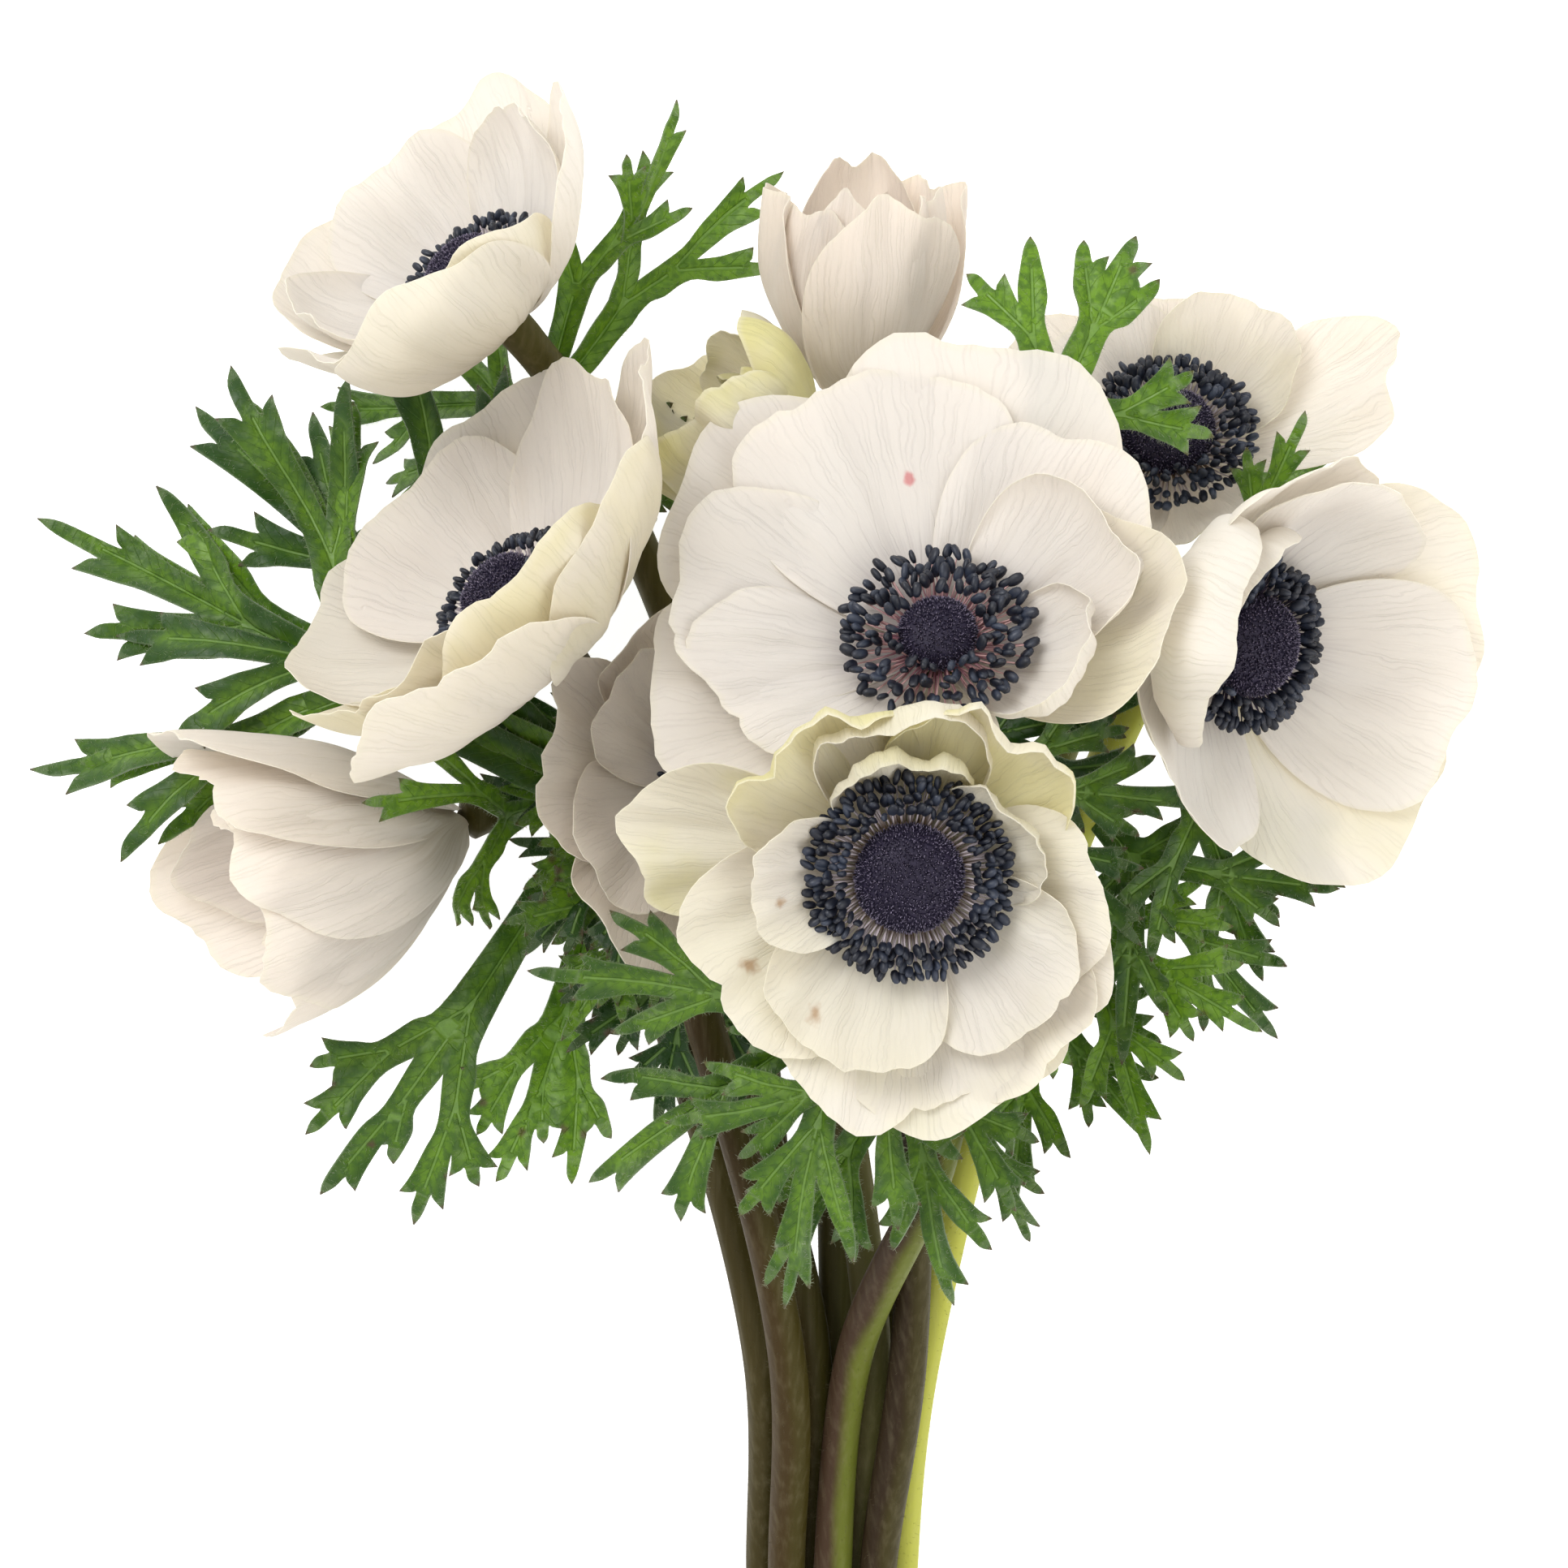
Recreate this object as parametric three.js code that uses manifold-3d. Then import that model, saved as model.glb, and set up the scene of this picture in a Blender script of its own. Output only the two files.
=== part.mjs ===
// A bunch of ten cut white anemones with dark eyes, lying on its back on a table.
// Millimetres. +X is to the right of the bunch, +Y runs from the cut stalks to the blooms, and +Z is up.
// Every flower is three solids: a stalk with its ruff of cut leaves, a bloom of thin petals, and a dark eye
// of stamens round a dome. A rubber band holds the stalks together.
import * as THREE from "three";
import { mergeVertices } from "three/addons/utils/BufferGeometryUtils.js";
import Module from "manifold-3d";

const wasm = await Module();
wasm.setup();

// ---- Driving dimensions ----
const PETAL_THICKNESS = 0.8;
const LEAF_THICKNESS = 0.8;
const STEM_RADIUS = 3.4;
const GAP = 0.35; // air between two pieces that touch on the real bunch
const ROOT_DEPTH = 9; // from the middle of an eye down to the roots of its petals
const ROOT_RADIUS = 2.6; // the petals stand on a circle of this size
const LEVEL_STEP = 2.4; // each inner whorl of petals stands this much higher
const SHINGLE = 1.2; // one side of a petal lies this much above its neighbour, the other side below
const CUT_END_Y = -250; // where the longest stalk is cut
const TIE_Y = -166; // middle of the rubber band
const TIE_WIDTH = 8;
const TIE_THICKNESS = 1.6;
const TIE_LIFT = 3.6; // the bundle is held clear of the table here
const SLOT_STEP_X = 7.6; // from stalk to stalk inside the tied bundle
const SLOT_STEP_Z = 6.8;
const BUNDLE_X = 8.5; // middle of the tied bundle
const FLAT = 0.3; // the lowest stalks are pressed this much flat where they lie on the table
const ORIGIN = new THREE.Vector3(-6.218, -62.994, 0); // middle of the bunch seen from above, on the table

const rad = THREE.MathUtils.degToRad;
const lerp = THREE.MathUtils.lerp;
const Y = new THREE.Vector3(0, 1, 0);
const Z = new THREE.Vector3(0, 0, 1);

// The same number from 0 to 1 for the same seed.
const draw = (seed) => {
  const v = Math.sin(seed * 12.9898 + 4.1) * 43758.5453;
  return v - Math.floor(v);
};

// ---- The flowers ----
// at: middle of the eye. faces: the way the bloom looks. eye: radius of the dome and of the stamen ring.
// bowl: how steeply the petals rise at their roots and at their tips, in degrees, the compass angle round the
// eye where they stand up most, and by how much more.
// petals: [compass angle, length, half angle of the fan, level of the whorl, extra rise at the tip].
// slot: column and row in the tied bundle. sway: how far the stalk leans to the right above the tie.
// via: points on the stalk between bloom and bundle.
// leaves: [distance down the stalk, tip x, y, z, bend, roll, form].
const FLOWERS = {
  front: {
    at: [20.6, -15.3, 106], faces: [0.02, -0.14, 0.99], eye: [8.8, 16.6], stamens: 13, grid: [3, 5],
    bowl: [2, 44, 80, 20],
    petals: [
      [282, 41, 44, 0, 0], [350, 34, 43, 0, 8], [58, 39, 44, 0, 0], [130, 39, 43, 0, 0],
      [210, 38, 44, 0, 0], [172, 44, 24, -1, -34], [316, 35, 42, 1, 8], [26, 31, 42, 1, 14],
      [96, 34, 44, 1, 16], [246, 35, 42, 1, 8],
    ],
    slot: [0, 2], sway: 3.6, via: [[29, -34, 84], [26.5, -62, 75]],
    leaves: [
      [34, -30, -66, 58, 26, 0, "full"], [42, 0, -80, 60, 22, 0, "full"], [50, 14, -78, 68, 24, 0, "narrow"],
    ],
  },
  crown: {
    at: [25.8, 24.7, 86], faces: [-0.05, 0.47, 0.88], eye: [6.4, 15.6], stamens: 12, grid: [3, 5],
    bowl: [4, 30, 0, 10],
    petals: [
      [84, 55, 44, 0, 0], [134, 53, 44, 0, 0], [10, 43, 44, 0, 4], [200, 48, 44, 0, 0], [268, 24, 40, 0, 0],
      [110, 50, 44, 1, 2], [166, 46, 42, 1, 6], [30, 42, 41, 1, 16], [346, 38, 40, 1, 24],
    ],
    slot: [1, 2], sway: 4.2, via: [[26, 0, 60], [23, -45, 60]],
    leaves: [[26, 59, -25, 51, 10, 0, "full"], [22, 57, 92, 60, 2, 0, "long"]],
  },
  right: {
    at: [79.8, 23.8, 62], faces: [0.6, -0.2, 0.77], eye: [8.4, 14.6], stamens: 11, grid: [3, 5],
    bowl: [4, 68, 166, 12],
    petals: [
      [22, 47, 44, 0, 0], [94, 41, 44, 0, 0], [172, 46, 58, 0, 14], [238, 42, 44, 0, 0],
      [310, 48, 44, 0, 0], [346, 47, 44, 1, 8], [128, 38, 42, 1, 20], [66, 42, 44, 1, 8],
    ],
    slot: [1.5, 1], sway: 2.4, via: [[63, 18, 42], [40, -38, 38]],
    leaves: [
      [54, 84, -42, 46, 24, 0, "full"], [64, 62, -60, 50, 24, 0, "full"], [76, 40, -70, 46, 20, 0, "full"],
      [28, 82, -31, 46, 2, 0, "long"], [22, 101, 55, 45.6, 3, 0, "narrow"],
    ],
  },
  high_left: {
    at: [-54.4, 87.5, 54], faces: [-0.6, 0.66, 0.46], eye: [7.4, 13.4], stamens: 8, grid: [3, 5],
    bowl: [4, 70, 333, 6],
    petals: [
      [333, 42, 44, 0, 0], [45, 43, 43, 0, 0], [117, 42, 43, 0, 0], [189, 42, 43, 0, 0],
      [261, 42, 43, 0, 0], [82, 39, 42, 1, 8], [153, 40, 42, 1, 8], [225, 39, 42, 1, 8],
    ],
    slot: [-1, 0], sway: 1, via: [[-37, 66, 33], [-14, 10, 25]],
    leaves: [
      [26, -28.6, 115, 34, 10, 0, "narrow"], [30, -9.4, 113, 30, 4, 30, "narrow"],
      [36, -17, 47, 32, 10, 0, "full"], [34, -80, 68, -0.6, 4, 0, "full"],
    ],
  },
  mid_left: {
    at: [-47.4, 31.8, 70], faces: [-0.62, 0.62, 0.48], eye: [7.4, 13.4], stamens: 8, grid: [3, 4],
    bowl: [-4, 62, 334, 19],
    petals: [
      [338, 53, 44, 0, 0], [48, 54, 43, 0, 0], [122, 50, 43, 0, 0], [194, 48, 43, 0, 0],
      [268, 54, 43, 0, 0], [86, 47, 42, 1, 6], [158, 46, 42, 1, 4], [302, 46, 40, 1, 4],
    ],
    slot: [-1, 2], sway: 1, via: [[-32, 12, 54], [-14, -40, 56]],
    leaves: [
      [54, -100, 62, 17, 2, 0, "long"], [50, -126, 44, 16, 2, 0, "long"], [44, -118, 40, 11, 2, 0, "long"],
    ],
  },
  low_left: {
    at: [-65, -9.8, 34], faces: [-0.88, -0.32, 0.35], eye: [4, 5], stamens: 3, grid: [3, 4],
    bowl: [38, 92, 0, 0],
    petals: [
      [24, 54, 54, 0, 0], [84, 57, 50, 0, -13], [180, 55, 50, 0, 0], [300, 51, 58, 0, 4],
      [45, 52, 46, 1, 3], [165, 52, 46, 1, 3], [325, 50, 46, 1, 3],
    ],
    slot: [-1.5, 1], sway: 1, via: [[-36, -4, 27], [-18, -48, 28]],
    leaves: [
      [26, -67, -12, 68, 16, 0, "narrow"], [34, -70, -73, 26, 20, 0, "long"],
      [40, -46, -68, 26, 20, 0, "long"],
    ],
  },
  hidden_left: {
    at: [-10, 0, 62], faces: [0.3, 0.06, 0.95], eye: [7, 12], stamens: 4, grid: [2, 4],
    bowl: [4, 42, 0, 6],
    petals: [
      [108, 34, 44, 0, 0], [172, 35, 44, 0, 0], [244, 37, 44, 0, 0], [316, 24, 42, 0, 0],
      [28, 22, 42, 0, 0], [136, 30, 42, 1, 6], [208, 32, 42, 1, 6],
    ],
    slot: [-0.5, 1], sway: 1, via: [[-15, -12, 38], [-4, -60, 34]],
    leaves: [
      [26, -37, -42, 44, 20, 0, "full"], [30, -26, -40, 48, 14, 0, "narrow"], [24, -50, 0, 46, 10, 0, "full"],
    ],
  },
  high_right: {
    at: [67, 61, 40.6], faces: [-0.05, 0.46, 0.885], eye: [8, 14.6], stamens: 8, grid: [2, 5],
    bowl: [4, 34, 0, 0],
    petals: [
      [20, 42, 26, 0, 0], [86, 28, 44, 0, 0], [154, 33, 44, 0, 0], [226, 23, 42, 0, 0], [298, 18, 42, 0, 0],
      [56, 31, 42, 1, 6], [118, 28, 42, 1, 6],
    ],
    slot: [1, 0], sway: 1, via: [[60, 34, 20], [34, -36, 20]],
    leaves: [[28, 100, 60, -0.6, 10, 0, "full"]],
  },
  bud: {
    at: [12.6, 76, 34], faces: [0.04, 0.97, 0.25], eye: [2.8, 3.4], stamens: 3, grid: [2, 4],
    bowl: [36, 106, 0, 0],
    petals: [
      [285, 42, 56, 0, 0], [35, 43, 56, 0, 0], [160, 42, 56, 0, 0], [330, 44, 50, 1, 2],
      [215, 41, 50, 1, 2],
    ],
    slot: [0, 0], sway: 1, via: [[13, 40, 24], [9, -30, 23]],
    leaves: [],
  },
  behind_top: {
    at: [-5.5, 60, 46], faces: [-0.76, 0.56, 0.32], eye: [6, 9], stamens: 3, grid: [2, 4],
    bowl: [14, 104, 0, 0],
    petals: [
      [335, 34, 54, 0, 0], [60, 32, 52, 0, 0], [180, 30, 52, 0, 0], [265, 30, 52, 0, 0], [20, 28, 46, 1, 6],
    ],
    slot: [0.5, 1], sway: 2.6, via: [[5, 38, 35], [7, -30, 33]],
    leaves: [],
  },
};

// ---- Solids from vertices ----
function solidOf(positions, faces) {
  const mesh = { numProp: 3, vertProperties: new Float32Array(positions), triVerts: new Uint32Array(faces) };
  return new wasm.Manifold(new wasm.Mesh(mesh));
}

// One closed blade round a sheet of points. normals: the way each point faces. triangles: the sheet's own,
// anticlockwise from the front. edge: the points along its rim, in the same sense.
function bladeSolid(points, normals, triangles, edge, thickness) {
  const n = points.length;
  const positions = [];
  for (const side of [0.5, -0.5]) {
    points.forEach((p, i) => {
      positions.push(...p.clone().addScaledVector(normals[i], side * thickness).toArray());
    });
  }
  const faces = [];
  for (const [a, b, c] of triangles) faces.push(a, b, c, n + a, n + c, n + b);
  for (let i = 0; i < edge.length; i++) {
    const a = edge[i];
    const b = edge[(i + 1) % edge.length];
    faces.push(a, n + a, b, b, n + a, n + b);
  }
  return solidOf(positions, faces);
}

function solidFromGeometry(geometry) {
  const bare = geometry.clone();
  for (const name of ["normal", "uv"]) bare.deleteAttribute(name);
  const merged = mergeVertices(bare, 1e-4);
  return solidOf([...merged.attributes.position.array], [...merged.index.array]);
}

function geometryOf(solid) {
  const mesh = solid.getMesh();
  const geometry = new THREE.BufferGeometry();
  geometry.setAttribute("position", new THREE.BufferAttribute(new Float32Array(mesh.vertProperties), 3));
  geometry.setIndex(new THREE.BufferAttribute(new Uint32Array(mesh.triVerts), 1));
  geometry.computeVertexNormals();
  return geometry;
}

const joined = (solids) => solids.reduce((a, b) => a.add(b));
const largest = (solid) => solid.decompose().reduce((a, b) => (a.volume() > b.volume() ? a : b));

// ---- Petals ----
// The petals of a bloom lie on a bowl round its eye. One petal is a fan on that bowl, with its point at the
// root and a round rim. Its two sides lie above and below its neighbours, and its rim waves.
const RIM_POWER = 2.3;
const RUFFLE = 0.03; // of the petal's length
const EDGE_REACH = 0.97; // the fan stops just short of its own corner, where it would have no width
const CLAW_SHARE = 0.6; // of the fan's width at the root
const CLAW_LENGTH = 2.4;

// A point on the bowl `distance` from the root, in the compass direction `turned`, lifted along its normal.
function bowlPoint(flower, petal, turned, distance, lift) {
  const [rootRise, tipRise, leanAt, lean] = flower.bowl;
  const [, length, , level, extra] = petal.row;
  const start = rad(rootRise);
  const end = rad(tipRise + extra + lean * Math.cos(turned - rad(leanAt)));
  const turn = (end - start) / length;
  const angle = start + turn * distance;
  const inward = lift + level * LEVEL_STEP;
  const out = ROOT_RADIUS + (Math.sin(angle) - Math.sin(start)) / turn - Math.sin(angle) * inward;
  const up = (Math.cos(start) - Math.cos(angle)) / turn - ROOT_DEPTH + Math.cos(angle) * inward;
  return new THREE.Vector3(out * Math.cos(turned), out * Math.sin(turned), up);
}

// along: 0 at the root to 1 at the rim. across: -1 to 1.
function petalPoint(flower, petal, along, across) {
  const [compass, length, halfAngle] = petal.row;
  const ripple = Math.sin(across * 5 + petal.seed * 6) - Math.cos(across * 8 + petal.seed * 11);
  const reach = length * Math.sqrt(1 - Math.abs(across) ** RIM_POWER) * (1 + RUFFLE * ripple);
  const wave = petal.wave * along ** 3 * Math.sin(across * 4.2 + petal.seed * 20);
  const lift = SHINGLE * across + petal.cup * along * across * across + wave;
  return bowlPoint(flower, petal, rad(compass + halfAngle * across), reach * along, lift);
}

// The root is a narrow claw of two rows, and the blade fans out from it.
function petalSolid(flower, petal) {
  const [rows, columns] = flower.grid;
  const claw = [-CLAW_SHARE, CLAW_SHARE];
  const spread = [];
  for (let j = 0; j <= columns; j++) spread.push(EDGE_REACH * Math.sin(Math.PI * (j / columns - 0.5)));
  const stations = [{ along: 0, stops: claw }, { along: CLAW_LENGTH / petal.row[1], stops: claw }];
  for (let i = 1; i <= rows; i++) stations.push({ along: i / rows, stops: spread });
  const points = [];
  const normals = [];
  const lines = stations.map(({ along, stops }) => stops.map((across) => {
    const at = (a, s) => petalPoint(flower, petal, a, s);
    const inside = across * 0.99;
    const ahead = at(along + 0.01, inside).sub(at(along - 0.01, inside));
    const aside = at(along, inside + 0.005).sub(at(along, inside - 0.005));
    normals.push(ahead.cross(aside).normalize());
    return points.push(at(along, across)) - 1;
  }));
  const triangles = [];
  for (let i = 1; i < lines.length; i++) {
    const [inner, outer] = [lines[i - 1], lines[i]];
    const fan = inner.length < outer.length;
    for (let j = 0; j + 1 < outer.length; j++) {
      if (fan) triangles.push([inner[j < columns / 2 ? 0 : 1], outer[j], outer[j + 1]]);
      else triangles.push([inner[j], outer[j], outer[j + 1]], [inner[j], outer[j + 1], inner[j + 1]]);
    }
    if (fan) triangles.push([inner[0], outer[Math.ceil(columns / 2)], inner[1]]);
  }
  const left = lines.slice(0, -1).map((line) => line[0]);
  const right = lines.slice(0, -1).map((line) => line[line.length - 1]).reverse();
  const edge = [...left, ...lines[lines.length - 1], ...right];
  return bladeSolid(points, normals, triangles, edge, PETAL_THICKNESS);
}

function petalsOf(name) {
  const first = Object.keys(FLOWERS).indexOf(name) * 20;
  return FLOWERS[name].petals.map((row, i) => ({
    row, seed: draw(first + i), wave: 0.3 + 0.6 * draw(first + i + 7), cup: row[3] * draw(first + i + 13),
  }));
}

// A bloom: its petals on the knob at the head of the stalk.
const KNOB_RADIUS = 3.6;
const KNOB_BELOW = 1.4; // from the lowest roots down to the foot of the knob
const KNOB_SIDES = 6;

function bloomSolid(name) {
  const flower = FLOWERS[name];
  const petals = petalsOf(name);
  const levels = petals.map((petal) => petal.row[3]);
  const foot = Math.min(...levels) * LEVEL_STEP - ROOT_DEPTH - KNOB_BELOW;
  const top = Math.max(...levels) * LEVEL_STEP - ROOT_DEPTH + 1;
  const profile = [[0, foot], [KNOB_RADIUS * 0.9, foot], [KNOB_RADIUS, top], [0, top]];
  const knob = new THREE.LatheGeometry(profile.map(([r, h]) => new THREE.Vector2(r, h)), KNOB_SIDES);
  const solids = petals.map((petal) => petalSolid(flower, petal));
  return { foot, top, solid: joined([solidFromGeometry(knob.rotateX(Math.PI / 2)), ...solids]) };
}

// ---- The eye: a domed boss with a ring of stamens round it ----
const EYE_FOOT_RADIUS = 2.4;
const DOME_SIDES = 9;
const STAMEN_HALF = 1.5; // from the middle of a stamen's head to its three corners

function eyeSolid(flower, foot) {
  const [domeRadius, ringRadius] = flower.eye;
  const r = domeRadius;
  const profile = [
    [0, foot], [Math.min(EYE_FOOT_RADIUS, r * 0.4), foot], [r * 0.9, -1.4], [r, 1], [r * 0.82, r * 0.45],
    [r * 0.45, r * 0.68], [0, r * 0.76],
  ];
  const body = new THREE.LatheGeometry(profile.map(([x, h]) => new THREE.Vector2(x, h)), DOME_SIDES);
  const solids = [solidFromGeometry(body.rotateX(Math.PI / 2))];
  for (let k = 0; k < flower.stamens; k++) {
    const high = k % 2;
    const reach = high ? lerp(r, ringRadius, 0.66) : ringRadius - 0.8 * draw(k);
    solids.push(stamenSolid((k / flower.stamens) * Math.PI * 2, r * 0.7, reach, rad(high ? 36 : 12)));
  }
  return joined(solids);
}

// A club on a thin stalk, as a long three-sided body whose widest place is near its end.
function stamenSolid(compass, start, reach, rise) {
  const length = (reach - start) / Math.cos(rise);
  const flat = new THREE.Vector3(Math.cos(compass), Math.sin(compass), 0);
  const out = flat.clone().multiplyScalar(Math.cos(rise)).addScaledVector(Z, Math.sin(rise));
  const over = flat.clone().multiplyScalar(-Math.sin(rise)).addScaledVector(Z, Math.cos(rise));
  const root = flat.clone().multiplyScalar(start);
  const belly = root.clone().addScaledVector(out, length * 0.72);
  const positions = [...root.toArray(), ...root.clone().addScaledVector(out, length).toArray()];
  for (const turned of [0, 120, 240]) {
    const spoke = over.clone().applyAxisAngle(out, rad(turned)).multiplyScalar(STAMEN_HALF);
    positions.push(...belly.clone().add(spoke).toArray());
  }
  return solidOf(positions, [0, 3, 2, 0, 4, 3, 0, 2, 4, 1, 2, 3, 1, 3, 4, 1, 4, 2]);
}

// ---- Leaves ----
// A leaf is drawn flat as one outline. A strap of it forks into smaller straps or ends in a pointed lobe.
// share: the part of the leaf's length that the strap takes.
const strap = (turn, share, forks = []) => ({ turn, share, forks });
const LEAF_FORMS = {
  full: strap(0, 0.3, [
    strap(-48, 0.28, [strap(-28, 0.3), strap(12, 0.38)]),
    strap(0, 0.32, [strap(-36, 0.3), strap(0, 0.38), strap(36, 0.3)]),
    strap(48, 0.28, [strap(-12, 0.38), strap(28, 0.3)]),
  ]),
  long: strap(0, 0.54, [
    strap(-44, 0.2, [strap(-28, 0.2), strap(10, 0.26)]),
    strap(2, 0.24, [strap(-28, 0.2), strap(16, 0.26)]),
    strap(46, 0.2, [strap(-10, 0.26), strap(28, 0.2)]),
  ]),
  narrow: strap(0, 0.36, [
    strap(-26, 0.26, [strap(-30, 0.26), strap(8, 0.38)]),
    strap(24, 0.24, [strap(-14, 0.4), strap(30, 0.28)]),
  ]),
};
const STRAP_HALF_WIDTH = 3.4; // of a leaf 60 long
const LEAF_WAVE = 3; // rise and fall of its lobes

function strapOutline(points, x, y, heading, part, length, half) {
  const go = (forward, left) => [
    x + Math.sin(heading) * forward - Math.cos(heading) * left,
    y + Math.cos(heading) * forward + Math.sin(heading) * left,
  ];
  const reach = part.share * length;
  if (!part.forks.length) {
    points.push(go(reach * 0.55, half), go(reach, 0), go(reach * 0.5, -half));
    return;
  }
  const [endX, endY] = go(reach, 0);
  points.push(go(reach * 0.6, half));
  part.forks.forEach((next, i) => {
    if (i) {
      const between = heading + rad((part.forks[i - 1].turn + next.turn) / 2);
      points.push([endX + Math.sin(between) * half * 1.1, endY + Math.cos(between) * half * 1.1]);
    }
    strapOutline(points, endX, endY, heading + rad(next.turn), next, length, half * 0.88);
  });
  points.push(go(reach * 0.55, -half));
}

function leafOutline(form, length) {
  const half = STRAP_HALF_WIDTH * Math.sqrt(length / 60);
  const points = [[-1.8, -2]];
  strapOutline(points, 0, 0, 0, LEAF_FORMS[form], length, half);
  points.push([1.8, -2]);
  return points;
}

// Bends the flat leaf: it arches along its length, folds along its middle, and its lobes wave.
function leafPoint(leaf, x, y) {
  const turn = leaf.bend / leaf.length;
  const swell = Math.sin(0.16 * x + leaf.seed * 9) * Math.cos(0.1 * y + leaf.seed * 5);
  const lift = leaf.fold * Math.abs(x) + (LEAF_WAVE * swell * y) / leaf.length;
  const along = Math.sin(turn * y) / turn + Math.sin(turn * y) * lift;
  const up = (Math.cos(turn * y) - 1) / turn + Math.cos(turn * y) * lift;
  const point = leaf.root.clone().addScaledVector(leaf.forward, along);
  return point.addScaledVector(leaf.right, x).addScaledVector(leaf.up, up);
}

function leafSolid(leaf) {
  const outline = leafOutline(leaf.form, leaf.length).map(([x, y]) => new THREE.Vector2(x, y));
  const edge = outline.map((_, i) => i);
  if (THREE.ShapeUtils.isClockWise(outline)) edge.reverse();
  const triangles = THREE.ShapeUtils.triangulateShape(edge.map((i) => outline[i]), [])
    .map((corners) => corners.map((i) => edge[i]));
  const points = outline.map((p) => leafPoint(leaf, p.x, p.y));
  const normals = outline.map((p) => {
    const ahead = leafPoint(leaf, p.x, p.y + 0.5).sub(leafPoint(leaf, p.x, p.y - 0.5));
    const aside = leafPoint(leaf, p.x + 0.1, p.y).sub(leafPoint(leaf, p.x - 0.1, p.y));
    return aside.cross(ahead).normalize();
  });
  return bladeSolid(points, normals, triangles, edge, LEAF_THICKNESS);
}

// ---- Stalks ----
const STEM_SIDES = 3; // curve steps per half turn of the section
const STEM_STEPS = 14;

function slotPoint([column, row], y, lift, spread = 1, sway = 0) {
  const x = BUNDLE_X + sway + column * SLOT_STEP_X * spread;
  return new THREE.Vector3(x, y, STEM_RADIUS - FLAT + row * SLOT_STEP_Z * spread + lift);
}

function stemCurve(flower, foot) {
  const at = new THREE.Vector3(...flower.at);
  const axis = new THREE.Vector3(...flower.faces).normalize();
  const below = (distance) => at.clone().addScaledVector(axis, foot - GAP - distance);
  const cut = CUT_END_Y + 6 * draw(flower.slot[0] * 3 + flower.slot[1] * 7);
  return new THREE.CatmullRomCurve3([
    below(0), below(6), ...flower.via.map((p) => new THREE.Vector3(...p)),
    slotPoint(flower.slot, -100, 22, 1.18, flower.sway), slotPoint(flower.slot, -140, 6, 1.06, 0),
    slotPoint(flower.slot, TIE_Y, TIE_LIFT),
    slotPoint(flower.slot, -202, 0), slotPoint(flower.slot, cut, 0),
  ], false, "centripetal");
}

function stemSolid(curve) {
  const section = new THREE.Shape();
  section.absarc(0, 0, STEM_RADIUS, 0, Math.PI * 2);
  const geometry = new THREE.ExtrudeGeometry(section, {
    steps: STEM_STEPS, curveSegments: STEM_SIDES, bevelEnabled: false, extrudePath: curve,
  });
  return solidFromGeometry(geometry);
}

// A leaf springs from the middle of the stalk and arches to its tip.
function leavesOf(name, curve, foot) {
  const length = curve.getLength();
  const first = Object.keys(FLOWERS).indexOf(name) * 20 + 400;
  return FLOWERS[name].leaves.map(([distance, x, y, z, bend, roll, form], i) => {
    const root = curve.getPointAt((distance + foot) / length);
    const chord = new THREE.Vector3(x, y, z).sub(root);
    const span = chord.length();
    chord.normalize();
    const upright = Z.clone().addScaledVector(chord, -Z.dot(chord)).normalize();
    upright.applyAxisAngle(chord, rad(roll));
    const half = rad(bend) / 2;
    const forward = chord.clone().multiplyScalar(Math.cos(half)).addScaledVector(upright, Math.sin(half));
    const up = upright.clone().multiplyScalar(Math.cos(half)).addScaledVector(chord, -Math.sin(half));
    const seed = draw(first + i);
    return {
      root, forward, up, form, seed, right: forward.clone().cross(up), bend: rad(bend),
      length: (span * half) / Math.sin(half), fold: 0.12 + 0.1 * seed,
    };
  });
}

// ---- The rubber band: the outline of the tied bundle, grown outwards ----
function tieSolid() {
  const corners = [[-1, 0], [1, 0], [1.5, 1], [1, 2], [-1, 2], [-1.5, 1]];
  const middle = (corner) => {
    const { x, z } = slotPoint(corner, TIE_Y, TIE_LIFT);
    return [x, z];
  };
  const outward = (from, to) => {
    const [ax, az] = middle(from);
    const [bx, bz] = middle(to);
    return Math.atan2(ax - bx, bz - az);
  };
  const around = (reach) => {
    const path = new THREE.Path();
    corners.forEach((corner, i) => {
      const [x, z] = middle(corner);
      const before = corners[(i + 5) % 6];
      const after = corners[(i + 1) % 6];
      path.absarc(x, z, reach, outward(before, corner), outward(corner, after), false);
    });
    return path.getPoints(2);
  };
  const inside = STEM_RADIUS + 3 * GAP;
  const outer = new THREE.Shape(around(inside + TIE_THICKNESS));
  outer.holes.push(new THREE.Path(around(inside)));
  const geometry = new THREE.ExtrudeGeometry(outer, { depth: TIE_WIDTH, bevelEnabled: false });
  geometry.rotateX(Math.PI / 2);
  geometry.translate(0, TIE_Y + TIE_WIDTH / 2, 0);
  return solidFromGeometry(geometry);
}

// ---- Assembly ----
const bunch = new THREE.Group();
bunch.name = "anemone_bunch";

const FINISH = {
  petals: new THREE.MeshStandardMaterial({ color: 0xf3ece2, roughness: 0.6 }),
  eye: new THREE.MeshStandardMaterial({ color: 0x1b1d33, roughness: 0.5 }),
  stalk: new THREE.MeshStandardMaterial({ color: 0x4f7a2e, roughness: 0.55 }),
  band: new THREE.MeshStandardMaterial({ color: 0xb98e5a, roughness: 0.6 }),
};

const table = solidFromGeometry(new THREE.BoxGeometry(900, 900, 100)).translate([0, 0, -50]);

function addMesh(name, solid, material) {
  const mesh = new THREE.Mesh(geometryOf(solid), material);
  mesh.name = name;
  bunch.add(mesh);
}

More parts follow.
